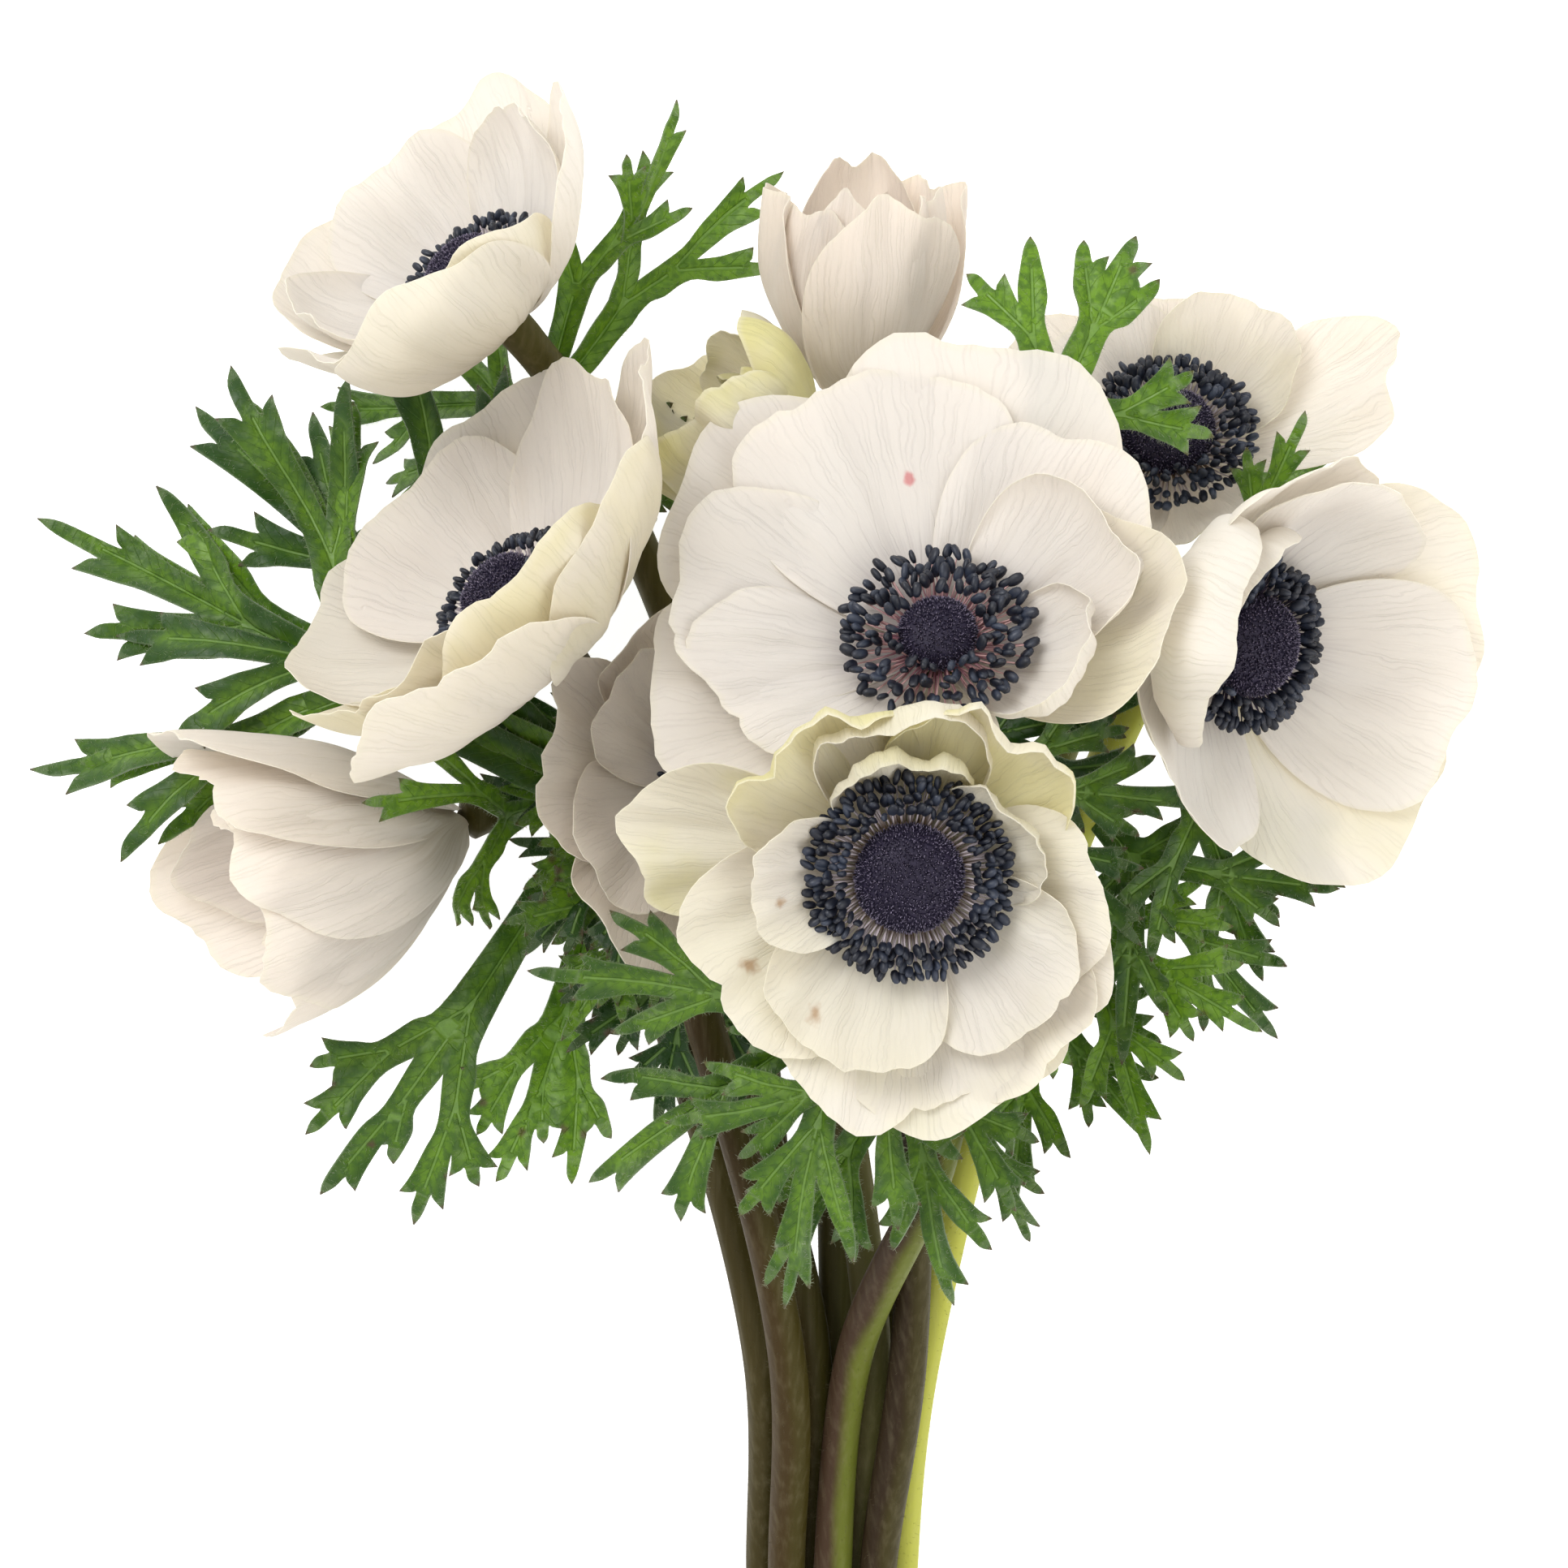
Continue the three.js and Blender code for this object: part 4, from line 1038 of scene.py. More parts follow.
def add_anthers(name, flower, stamens, growth, template, material, settings):
    axes, _ = face_axes(flower)
    heads = placed(flower, [s[2] for s in stamens])
    aims = np.array([s[3] for s in stamens]) @ axes
    whole = settings.anther * flower["stamens"][3] / USUAL_ANTHER
    piece = points_mesh(name + "_anthers", heads + aims * 0.6, aim=aims,
                        size=[whole * (0.82 + 0.3 * s[4]) for s in stamens],
                        spin=[FULL_TURN * s[5] for s in stamens])
    growth.grow(piece, Anther=template, Material=material)
    finished(piece, name + "_eye")


def add_filaments(name, flower, stamens, growth, material, settings):
    """Strands from root to tip, bent at the elbow and thinner towards the anther."""
    lines, edges, tips = [], [], []
    for root, elbow, tip, *_ in stamens:
        for t in FILAMENT_STEPS:
            lines.append((1 - t) ** 2 * root + 2 * t * (1 - t) * elbow + t * t * tip)
            tips.append(t)
            if t:
                edges.append((len(lines) - 2, len(lines) - 1))
    piece = points_mesh(name + "_filaments", placed(flower, lines), edges, tip=tips,
                        thick=[1.25 - 0.45 * t for t in tips])
    growth.grow(piece, Radius=settings.filament / 2, Sides=5, Material=material)
    finished(piece, name + "_eye")


def make_stamens(settings):
    anthers, strands = anther_growth(), strand_growth()
    template = anther_template()
    dark = anther_material()
    finish = {
        "pink": filament_material("pink_filament", (0.3, 0.13, 0.16), (0.8, 0.5, 0.48)),
        "pale": filament_material("pale_filament", (0.2, 0.13, 0.07), (0.78, 0.7, 0.76)),
        "dark": filament_material("dark_filament", (0.012, 0.01, 0.02), (0.08, 0.06, 0.1)),
    }
    for order, (name, flower) in enumerate(FLOWERS.items()):
        stamens = stamens_of(flower, order)
        add_anthers(name, flower, stamens, anthers, template, dark, settings)
        add_filaments(name, flower, stamens, strands, finish[flower["filaments"]], settings)
    bpy.data.objects.remove(template)


# ---- Stalks ----
def slot_point(slot, y, lift, spread=1.0, sway=0.0):
    column, row = slot
    return (BUNDLE_X + sway + column * SLOT_STEP_X * spread, y,
            STEM_RADIUS - FLAT + row * SLOT_STEP_Z * spread + lift)


class StalkLine:
    """The middle line of a stalk: a centripetal Catmull-Rom curve, read by the share of its length."""

    def __init__(self, flower):
        axes, at = face_axes(flower)
        foot = levels_of(flower)[0]
        self.foot = foot
        self.axis = axes[2]
        slot = flower["slot"]
        cut = CUT_END_Y + 6 * draw(slot[0] * 3 + slot[1] * 7)
        knots = [at + axes[2] * (foot - GAP), at + axes[2] * (foot - GAP - 6), *flower["via"],
                 slot_point(slot, -100, 22, 1.18, flower["sway"]), slot_point(slot, -140, 6, 1.06),
                 slot_point(slot, TIE_Y, TIE_LIFT), slot_point(slot, -202, 0), slot_point(slot, cut, 0)]
        self.knots = [np.array(k, float) for k in knots]
        samples = np.array([self.at_knot(t) for t in np.linspace(0, 1, 401)])
        steps = np.linalg.norm(np.diff(samples, axis=0), axis=1)
        self.samples = samples
        self.lengths = np.concatenate([[0], np.cumsum(steps)])
        self.length = self.lengths[-1]

    def at_knot(self, t):
        """The curve from knot to knot. It begins at 0 and ends at 1."""
        k = self.knots
        whole = min(int(t * (len(k) - 1)), len(k) - 2)
        w = t * (len(k) - 1) - whole
        p1, p2 = k[whole], k[whole + 1]
        p0 = k[whole - 1] if whole else 2 * k[0] - k[1]
        p3 = k[whole + 2] if whole + 2 < len(k) else 2 * k[-1] - k[-2]
        d0, d1, d2 = (np.sum((b - a) ** 2) ** 0.25 for a, b in ((p0, p1), (p1, p2), (p2, p3)))
        m1 = ((p1 - p0) / d0 - (p2 - p0) / (d0 + d1) + (p2 - p1) / d1) * d1
        m2 = ((p2 - p1) / d1 - (p3 - p1) / (d1 + d2) + (p3 - p2) / d2) * d1
        square = -3 * p1 + 3 * p2 - 2 * m1 - m2
        cube = 2 * p1 - 2 * p2 + m1 + m2
        return p1 + m1 * w + square * w ** 2 + cube * w ** 3

    def at_share(self, share):
        target = np.clip(share, 0, 1) * self.length
        return np.stack([np.interp(target, self.lengths, self.samples[:, k]) for k in range(3)], -1)


def tube_frames(line):
    """A normal and a sideways direction at each point of a line, carried along it without twist."""
    ahead = normalised(np.gradient(line, axis=0))
    over = np.array([0.0, 0.0, 1.0]) - ahead[0] * ahead[0][2]
    over = over / np.linalg.norm(over)
    overs = []
    for direction in ahead:
        over = over - direction * float(over @ direction)
        over = over / np.linalg.norm(over)
        overs.append(over)
    overs = np.array(overs)
    return overs, np.cross(ahead, overs)


STALK_SIDES = 28
HAIR_SLENDERNESS = 0.035
HOLLOW = 0.45
HOLLOW_DEPTH = 2.2
CUT_EDGE = 0.86


def stalk_rings(line, order, steps):
    """The middle of a stalk and its rings of points, with shallow ribs, and thicker under the bloom."""
    shares = np.linspace(0, 1, steps + 1)
    middle = line.at_share(shares)
    overs, sides = tube_frames(middle)
    turned = np.linspace(0, 2 * math.pi, STALK_SIDES + 1)[:-1]
    ribs = 1 + 0.018 * np.cos(9 * turned + order) + 0.01 * np.cos(14 * turned)
    radius = np.full(len(shares), STEM_RADIUS * 0.965)
    radius *= 1 + 0.03 * np.sin(shares * 23 + order * 2) + 0.1 * smooth_step(0.03, 0.0, shares)
    return middle, (middle[:, None, :]
                    + overs[:, None, :] * (radius[:, None] * ribs * np.cos(turned))[..., None]
                    + sides[:, None, :] * (radius[:, None] * ribs * np.sin(turned))[..., None])


def stalk_levels(flower, line, order, steps):
    """All rings of a stalk from the point in its knob to the bottom of the hollow in its cut end."""
    middle, rings = stalk_rings(line, order, steps)
    top = placed(flower, [[0, 0, line.foot + KNOB_BELOW + 1.5]])
    neck = rings[0] * 0.75 + (middle[0] + line.axis * (KNOB_BELOW + 0.6)) * 0.25
    end = middle[-1:]
    shelf = end + (rings[-1] - end) * CUT_EDGE
    hollow = end + (rings[-1] - end) * HOLLOW
    deep = hollow + (middle[-2] - middle[-1]) / np.linalg.norm(middle[-2] - middle[-1]) * HOLLOW_DEPTH
    return [top, neck, *rings, shelf, hollow, deep, deep.mean(0)[None]]


def joined(levels):
    """Faces from ring to ring. The first and the last level are single points."""
    starts = np.cumsum([0] + [len(level) for level in levels])
    faces = []
    for a in range(len(levels) - 1):
        here, after = starts[a], starts[a + 1]
        for k in range(STALK_SIDES):
            m = (k + 1) % STALK_SIDES
            if a == 0:
                faces.append([here, after + k, after + m])
            elif a == len(levels) - 2:
                faces.append([here + m, here + k, after])
            else:
                faces.append([here + k, after + k, after + m, here + m])
    return faces


def make_stalks(settings):
    material = stalk_material()
    growth = bristle_growth("Stalk_hairs", 3, 0.6)
    white = bristle_material("white_stalk_hair", (0.08, 0.065, 0.03), (0.34, 0.29, 0.19))
    for order, (name, flower) in enumerate(FLOWERS.items()):
        levels = stalk_levels(flower, StalkLine(flower), order, settings.stalk_steps)
        left = [(level[:, 0].mean() - level[:, 0]) / (2 * STEM_RADIUS) + 0.5 for level in levels]
        points = np.concatenate(levels)
        points[:, 2] = np.maximum(points[:, 2], 0.0)
        parts = Parts("left", "bare")
        parts.add(points, outward(points, joined(levels)), left=np.concatenate(left), bare=0.0)
        piece = parts.piece(name + "_stem", material)
        for key, colour in zip(("tone_left", "tone_right"), flower["stalk"]):
            tones = piece.data.attributes.new(key, "FLOAT_COLOR", "POINT")
            tones.data.foreach_set("color", np.tile([*colour, 1.0], len(points)).astype(np.float32))
        finished(piece, name + "_stalk")
        add_hairs(name + "_fuzz", piece, growth, settings, 0.25, order, white)


def add_hairs(name, piece, growth, settings, density, order, material):
    """Fine hairs on a piece, in a piece of their own. Density is in hairs on a square millimetre."""
    hairs = linked(name, piece.data.copy())
    growth.grow(hairs, Density=density * MM_PER_M ** 2, Height=settings.hair,
                Radius=settings.hair * HAIR_SLENDERNESS, Seed=order + 1, Material=material)
    finished(hairs, piece.name.rsplit("_", 1)[0] + "_stalk")


# ---- Leaves ----
def strap(turn, share, *forks):
    """A strap of a leaf: its turn from the one before it, its share of the length, and where it forks to."""
    return turn, share, forks


LEAF_FORMS = {
    "full": strap(0, 0.26,
                  strap(-80, 0.2, strap(-24, 0.2), strap(16, 0.26)),
                  strap(-40, 0.28, strap(-34, 0.26), strap(-4, 0.36), strap(26, 0.24)),
                  strap(0, 0.36, strap(-36, 0.26), strap(0, 0.38), strap(36, 0.26)),
                  strap(40, 0.28, strap(-26, 0.24), strap(4, 0.36), strap(34, 0.26)),
                  strap(80, 0.2, strap(-16, 0.26), strap(24, 0.2))),
    "long": strap(0, 0.46,
                  strap(-46, 0.2, strap(-26, 0.22), strap(10, 0.28)),
                  strap(0, 0.22, strap(-30, 0.2), strap(0, 0.32), strap(28, 0.22)),
                  strap(44, 0.2, strap(-10, 0.28), strap(28, 0.22))),
    "hanging": strap(0, 0.5,
                     strap(-24, 0.22, strap(-22, 0.16), strap(12, 0.24)),
                     strap(3, 0.24, strap(-20, 0.14), strap(6, 0.26)),
                     strap(28, 0.2, strap(-14, 0.22), strap(20, 0.16))),
    "far": strap(0, 0.62,
                 strap(-34, 0.16, strap(-30, 0.16), strap(12, 0.18)),
                 strap(4, 0.2, strap(-30, 0.16), strap(0, 0.18), strap(30, 0.14)),
                 strap(62, 0.14, strap(-20, 0.14), strap(24, 0.16))),
    "narrow": strap(0, 0.34,
                    strap(-30, 0.24, strap(-26, 0.24), strap(6, 0.38)),
                    strap(26, 0.22, strap(-14, 0.42), strap(24, 0.28))),
}
# Half the width of the first strap of a leaf 60 mm long, the height of a leaf's waves, the painted shade
# on the added leaves, which lie deep in shade, and the lowest height of a leaf's middle over the surface.
STRAP_HALF_WIDTH = 2.9
LEAF_WAVE = 5.0
DEEP_LEAF_SHADE = -0.7
LEAF_REST = 0.45


class LeafDrawing:
    """A leaf drawn flat: the stops of its outline, which of them are sharp, and the lines of its ribs."""

    def __init__(self, form, length, seed):
        self.length = length
        self.seed = seed
        self.stops = [((-1.8, -2.0), False)]
        self.ribs = []
        self.lobes = 0
        self.add(0.0, 0.0, 0.0, LEAF_FORMS[form], STRAP_HALF_WIDTH * math.sqrt(length / 60))
        self.stops.append(((1.8, -2.0), False))

    def add(self, x, y, heading, part, half):
        _, share, forks = part
        reach = share * self.length

        def go(forward, left):
            return (x + math.sin(heading) * forward - math.cos(heading) * left,
                    y + math.cos(heading) * forward + math.sin(heading) * left)

        if not forks:
            self.lobe(go, reach, half)
            self.ribs.append(((x, y), go(reach * 0.9, 0)))
            return
        end = go(reach, 0)
        self.ribs.append(((x, y), end))
        self.stops.append((go(reach * 0.35, half * 0.92), False))
        self.stops.append((go(reach * 0.7, half), False))
        for i, fork in enumerate(forks):
            if i:
                between = heading + math.radians((forks[i - 1][0] + fork[0]) / 2)
                self.stops.append(((end[0] + math.sin(between) * half * 1.1,
                                    end[1] + math.cos(between) * half * 1.1), False))
            self.add(*end, heading + math.radians(fork[0]), fork, half * 0.88)
        self.stops.append((go(reach * 0.65, -half), False))
        self.stops.append((go(reach * 0.3, -half * 0.92), False))

    def lobe(self, go, reach, half):
        """A lobe that ends in two or three short fingers."""
        self.lobes += 1
        own = [draw(self.seed * 50 + self.lobes * 3.3 + k) for k in range(5)]
        stops = [((0.2, 0.74), False), ((0.55, 0.96), False)]
        if own[0] > 0.2:
            at = 0.9 + 0.14 * own[2]
            stops += [((at - 0.2, 1.3), False), ((at, 1.7), True), ((at - 0.04, 0.8), False),
                      ((at - 0.06, 0.5), False)]
        else:
            stops.append(((0.85, 0.7), False))
        stops += [((1.08, 0.4), False), ((1.2, 0.4 * (own[4] - 0.5)), True), ((1.08, -0.4), False)]
        if own[1] > 0.3:
            at = 0.86 + 0.16 * own[3]
            stops += [((at - 0.06, -0.5), False), ((at - 0.04, -0.8), False), ((at, -1.65), True),
                      ((at - 0.2, -1.25), False)]
        else:
            stops.append(((0.85, -0.7), False))
        stops += [((0.5, -0.96), False), ((0.2, -0.74), False)]
        for (forward, left), sharp in stops:
            self.stops.append((go(reach * forward, half * left), sharp))

    def outline(self, steps=4):
        """The outline as a fine polygon: rounded at every stop but the sharp ones."""
        stops = [np.array(p) for p, _ in self.stops]
        sharp = [s for _, s in self.stops]
        n = len(stops)
        points, pointed = [], []
        for i in range(n - 1):
            p1, p2 = stops[i], stops[i + 1]
            p0 = p1 - (p2 - p1) * 0.5 if i == 0 or sharp[i] else stops[i - 1]
            p3 = p2 + (p2 - p1) * 0.5 if i + 2 >= n or sharp[i + 1] else stops[i + 2]
            for k in range(steps):
                t = k / steps
                points.append(0.5 * (2 * p1 + (p2 - p0) * t + (2 * p0 - 5 * p1 + 4 * p2 - p3) * t ** 2
                                     + (3 * p1 - p0 - 3 * p2 + p3) * t ** 3))
                pointed.append(sharp[i] and k == 0)
        points.append(stops[-1])
        pointed.append(False)
        return np.array(points), np.array(pointed)


def near_lines(points, starts, ends):
    """How far each flat point is from the nearest of some straight lines."""
    return nearest(points, starts, ends)[0]


def nearest(points, starts, ends):
    """How far each flat point is from the nearest of some straight lines, and how far along that line."""
    best, along = np.full(len(points), 1e9), np.zeros(len(points))
    for a, b in zip(starts, ends):
        d = b - a
        size = max(float(np.linalg.norm(d)), 1e-6)
        t = np.clip(((points - a) @ d) / size, 0, size)
        away = np.linalg.norm(points - a - t[:, None] * d / size, axis=1)
        along = np.where(away < best, t, along)
        best = np.minimum(best, away)
    return best, along


def inside_of(points, polygon):
    x, y = points[:, 0], points[:, 1]
    found = np.zeros(len(points), bool)
    j = len(polygon) - 1
    for i in range(len(polygon)):
        (xi, yi), (xj, yj) = polygon[i], polygon[j]
        crosses = (yi > y) != (yj > y)
        found ^= crosses & (x < (xj - xi) * (y - yi) / (yj - yi + 1e-12) + xi)
        j = i
    return found


def grid_over(outline, spacing):
    """A grid of points in a triangular order over the whole outline."""
    low, high = outline.min(0), outline.max(0)
    xs = np.arange(low[0], high[0], spacing)
    ys = np.arange(low[1], high[1], spacing * 0.866)
    return np.array([(x + (spacing / 2 if k % 2 else 0), y) for k, y in enumerate(ys) for x in xs])


def rows_along(starts, ends, spacing):
    """Three rows of points along every rib, on it and close to its sides."""
    rows = []
    for a, b in zip(starts, ends):
        count = max(2, int(np.linalg.norm(b - a) / spacing))
        direction = (b - a) / max(np.linalg.norm(b - a), 1e-9)
        across = np.array([-direction[1], direction[0]])
        for k in range(1, count):
            at = a + (b - a) * k / count
            rows += [at, at + across * spacing * 0.45, at - across * spacing * 0.45]
    return np.array(rows)


def filled(outline, inner):
    """Triangles between an outline and the points inside it."""
    count = len(outline)
    loop = [(i, (i + 1) % count) for i in range(count)]
    flat = [Vector((float(x), float(y))) for x, y in np.concatenate([outline, inner])]
    coords, _, faces, *_ = geometry.delaunay_2d_cdt(flat, loop, [], 1, 1e-4)
    return np.array([tuple(c) for c in coords]), [list(f) for f in faces]


def leaf_net(drawing, spacing):
    """Triangles that fill the drawn leaf, their border, and how far each point is from ribs, rim and tips."""
    outline, pointed = drawing.outline()
    following = np.roll(outline, -1, axis=0)
    starts = np.array([r[0] for r in drawing.ribs])
    ends = np.array([r[1] for r in drawing.ribs])
    grid = grid_over(outline, spacing)
    keep = inside_of(grid, outline)
    keep &= near_lines(grid, outline, following) > spacing * 0.5
    keep &= near_lines(grid, starts, ends) > spacing * 0.75
    rows = rows_along(starts, ends, spacing)
    rows = rows[inside_of(rows, outline)]
    rows = rows[near_lines(rows, outline, following) > 0.25]
    coords, faces = filled(outline, np.concatenate([grid[keep], rows]))
    rib, along = nearest(coords, starts, ends)
    used = {(a, b) for face in faces for a, b in zip(face, face[1:] + face[:1])}
    border = [(a, b) for a, b in used if (b, a) not in used]
    rim = near_lines(coords, coords[[a for a, _ in border]], coords[[b for _, b in border]])
    tip = np.min(np.linalg.norm(coords[:, None] - outline[pointed][None], axis=2), axis=1)
    return coords, faces, border, rib, along, rim, tip


def leaf_point(leaf, x, y, lift):
    """A flat point of a leaf on the bent, folded and wavy leaf."""
    turn = leaf["bend"] / leaf["length"]
    swell = np.sin(0.16 * x + leaf["seed"] * 9) * np.cos(0.1 * y + leaf["seed"] * 5)
    rise = leaf["fold"] * np.abs(x) + LEAF_WAVE * swell * y / leaf["length"] + lift
    along = np.sin(turn * y) / turn + np.sin(turn * y) * rise
    up = (np.cos(turn * y) - 1) / turn + np.cos(turn * y) * rise
    return (leaf["root"] + along[:, None] * leaf["forward"] + x[:, None] * leaf["right"]
            + up[:, None] * leaf["up"])


def leaves_of(order, flower):
    """The leaves of a flower, each with its root on the stalk and its own directions there."""
    line = StalkLine(flower)
    deep = len(flower["leaves"])
    rows = flower["leaves"] + flower.get("more_leaves", [])
    for i, (distance, x, y, z, bend, roll, form) in enumerate(rows):
        root = line.at_share((distance + line.foot) / line.length)
        chord = np.array([x, y, z], float) - root
        span = float(np.linalg.norm(chord))
        chord /= span
        upright = np.array([0.0, 0.0, 1.0]) - chord * chord[2]
        upright /= np.linalg.norm(upright)
        turned = math.radians(roll)
        upright = upright * math.cos(turned) + np.cross(chord, upright) * math.sin(turned)
        half = math.radians(bend) / 2
        forward = chord * math.cos(half) + upright * math.sin(half)
        up = upright * math.cos(half) - chord * math.sin(half)
        seed = draw(order * 20 + 400 + i)
        yield {
            "root": root, "forward": forward, "up": up, "right": np.cross(forward, up), "form": form,
            "bend": math.radians(bend), "length": span * half / math.sin(half), "seed": seed,
            # Painted light: a random amount on each leaf, and painted shade on the added leaves.
            "fold": 0.12 + 0.1 * seed, "bright": draw(seed * 9 + i) if i < deep else DEEP_LEAF_SHADE,
        }


def leaf_relief(leaf, x, y, rib, along, rim):
    """Puffed up between the ribs and sunk along them, with shallow waves, and lower at the rim."""
    relief = 0.34 * np.minimum(rib, 3.0) - 0.35 * np.exp(-((rib / 0.7) ** 2))
    relief = relief + 0.22 * np.sin(x * 0.9 + leaf["seed"] * 7) * np.cos(y * 0.7 + leaf["seed"] * 17)
    relief = relief + 0.5 * np.sin(along * 0.55 + leaf["seed"] * 23) * smooth_step(1.0, 4.0, rib)
    return relief * smooth_step(-2, 6, y) - 0.25 * smooth_step(0.9, 0.0, rim)


def add_leaf(parts, leaf, settings):
    drawing = LeafDrawing(leaf["form"], leaf["length"], leaf["seed"])
    net, faces, border, rib, along, rim, tip = leaf_net(drawing, MM_PER_M * settings.spacing)
    x, y = net[:, 0], net[:, 1]
    relief = leaf_relief(leaf, x, y, rib, along, rim)
    middle = leaf_point(leaf, x, y, relief)
    middle[:, 2] = np.maximum(middle[:, 2], LEAF_REST)
    near = 0.3
    ahead = leaf_point(leaf, x, y + near, relief) - leaf_point(leaf, x, y - near, relief)
    aside = leaf_point(leaf, x + near, y, relief) - leaf_point(leaf, x - near, y, relief)
    normal = normalised(np.cross(aside, ahead))
    half = MM_PER_M * settings.leaf_thickness * (0.3 + 0.2 * smooth_step(0, 1.2, rim)) + 0.12 * (rib < 0.3)
    half = half[:, None]
    points = np.concatenate([middle + normal * half, middle - normal * half])
    n = len(net)
    points[:, 2] = np.maximum(points[:, 2], 0.02)
    both = faces + [[i + n for i in reversed(f)] for f in faces]
    both += [[b, a, a + n, b + n] for a, b in border]
    both = outward(points, both)
    parts.add(points, both, rib=np.tile(rib, 2), along=np.tile(along, 2), rim=np.tile(rim, 2),
              point=np.tile(tip, 2), under=np.concatenate([np.zeros(n), np.ones(n)]), bright=leaf["bright"],
              bare=np.tile(rim, 2))


def make_leaves(settings):
    material = leaf_material()
    growth = bristle_growth("Leaf_hairs", 3, 0.5)
    white = bristle_material("white_leaf_hair", (0.35, 0.4, 0.25), (0.8, 0.8, 0.72))
    for order, (name, flower) in enumerate(FLOWERS.items()):
        if not flower["leaves"]:
            continue
        parts = Parts("rib", "along", "rim", "point", "under", "bright", "bare")
        for leaf in leaves_of(order, flower):
            add_leaf(parts, leaf, settings)
        piece = parts.piece(name + "_leaves", material, sharp=60)
        finished(piece, name + "_stalk")
        add_hairs(name + "_fringe", piece, growth, settings, 4.0, order + 20, white)


# ---- The rubber band ----
BAND_CORNERS = [(-1, 0), (1, 0), (1.5, 1), (1, 2), (-1, 2), (-1.5, 1)]
BAND_SIDES = 12
CORNER_STEPS = 6


def band_path():
    """Round the six outer stalks: the middle of the stalk and the way out from it, at each step."""
    corners = [slot_point(corner, TIE_Y, TIE_LIFT) for corner in BAND_CORNERS]
    middles = [np.array([x, z]) for x, _, z in corners]
    leaving = []
    for middle, after in zip(middles, middles[1:] + middles[:1]):
        step = after - middle
        leaving.append(math.atan2(-step[0], step[1]))
    path = []
    for middle, start, stop in zip(middles, leaving[-1:] + leaving[:-1], leaving):
        while stop < start:
            stop += 2 * math.pi
        for t in np.linspace(0, 1, CORNER_STEPS):
            angle = start + (stop - start) * t
            path.append((middle, np.array([math.cos(angle), math.sin(angle)])))
    return path


def squared(value):
    """Pushes a sine or a cosine outward, so that a circle becomes a rounded square."""
    return math.copysign(abs(value) ** 0.6, value)


def band_ring(middle, direction, k, wrap, width):
    """One ring of a turn of the band. The turns run a little unevenly."""
    centre_y = TIE_Y - TIE_WIDTH / 2 + width * (wrap + 0.5)
    wobble = 0.1 * math.sin(k * 0.7 + wrap * 1.9)
    reach = STEM_RADIUS + 3 * GAP + TIE_THICKNESS / 2 + 0.08 * math.sin(k * 0.9 + wrap * 2.3)
    ring = []
    for angle in np.linspace(0, 2 * math.pi, BAND_SIDES + 1)[:-1]:
        side = squared(math.cos(angle)) * width * 0.47
        out = squared(math.sin(angle)) * TIE_THICKNESS * 0.46
        flat = middle + direction * (reach + out)
        ring.append((flat[0], centre_y + side + wobble, flat[1]))
    return ring


def hoop_faces(rings, sides):
    """Faces of a tube that closes on itself."""
    faces = []
    for ring in range(rings):
        here, after = ring * sides, (ring + 1) % rings * sides
        for k in range(sides):
            m = (k + 1) % sides
            faces.append([here + k, after + k, after + m, here + m])
    return faces


def make_band(settings):
    path = band_path()
    width = TIE_WIDTH / settings.wraps
    parts = Parts()
    for wrap in range(settings.wraps):
        rings = [band_ring(middle, direction, k, wrap, width) for k, (middle, direction) in enumerate(path)]
        points = np.array(rings).reshape(-1, 3)
        parts.add(points, outward(points, hoop_faces(len(rings), BAND_SIDES)))
    piece = parts.piece("band_wraps", band_material(), sharp=0)
    finished(piece, "rubber_band")


# ---- Stage ----
FLOOR_HALF = 3.0
FLOOR_DROP = 0.0002
LIT_PLACE = Vector((0.0, 0.06, 0.06))
CAMERA_HEIGHT = 1.2
CAMERA_LENS = 152.6
CAMERA_SENSOR = 36.0
CAMERA_END = 20.0


def add_light(name, place, size, power, colour=(1.0, 1.0, 1.0)):
    lamp = bpy.data.lights.new(name, "AREA")
    lamp.shape = "SQUARE"
    lamp.size = size
    lamp.energy = power
    lamp.color = colour
    light = linked(name, lamp)
    light.location = place
    light.rotation_euler = (LIT_PLACE - Vector(place)).to_track_quat("-Z", "Y").to_euler()


def add_floor():
    half = FLOOR_HALF
    mesh = bpy.data.meshes.new("floor")
    corners = [(-half, -half, 0), (half, -half, 0), (half, half, 0), (-half, half, 0)]
    mesh.from_pydata(corners, [], [[0, 1, 2, 3]])
    mesh.materials.append(floor_material())
    floor = linked("floor", mesh)
    floor.location.z = -FLOOR_DROP


def add_camera():
    """A camera straight above the photograph's middle, which looks straight down."""
    lens = bpy.data.cameras.new("camera")
    lens.lens = CAMERA_LENS
    lens.sensor_width = CAMERA_SENSOR
    lens.clip_end = CAMERA_END
    camera = linked("camera", lens)
    camera.location = (-ORIGIN[0] / MM_PER_M, -ORIGIN[1] / MM_PER_M, CAMERA_HEIGHT)
    bpy.context.scene.camera = camera


def make_stage(settings):
    scene = bpy.context.scene
    add_floor()
    world = bpy.data.worlds.new("studio")
    world.use_nodes = True
    background = world.node_tree.nodes["Background"]
    background.inputs["Color"].default_value = (1.0, 1.0, 1.0, 1.0)
    background.inputs["Strength"].default_value = settings.sky
    scene.world = world
    add_light("soft_key", (-0.6, 0.7, 1.1), 0.8, settings.key)
    add_light("soft_fill", (0.9, -0.5, 1.1), 1.2, settings.fill, (1.0, 0.98, 0.95))
    add_camera()
    scene.view_settings.view_transform = "Standard"
    scene.view_settings.look = "None"
    scene.view_settings.exposure = settings.exposure


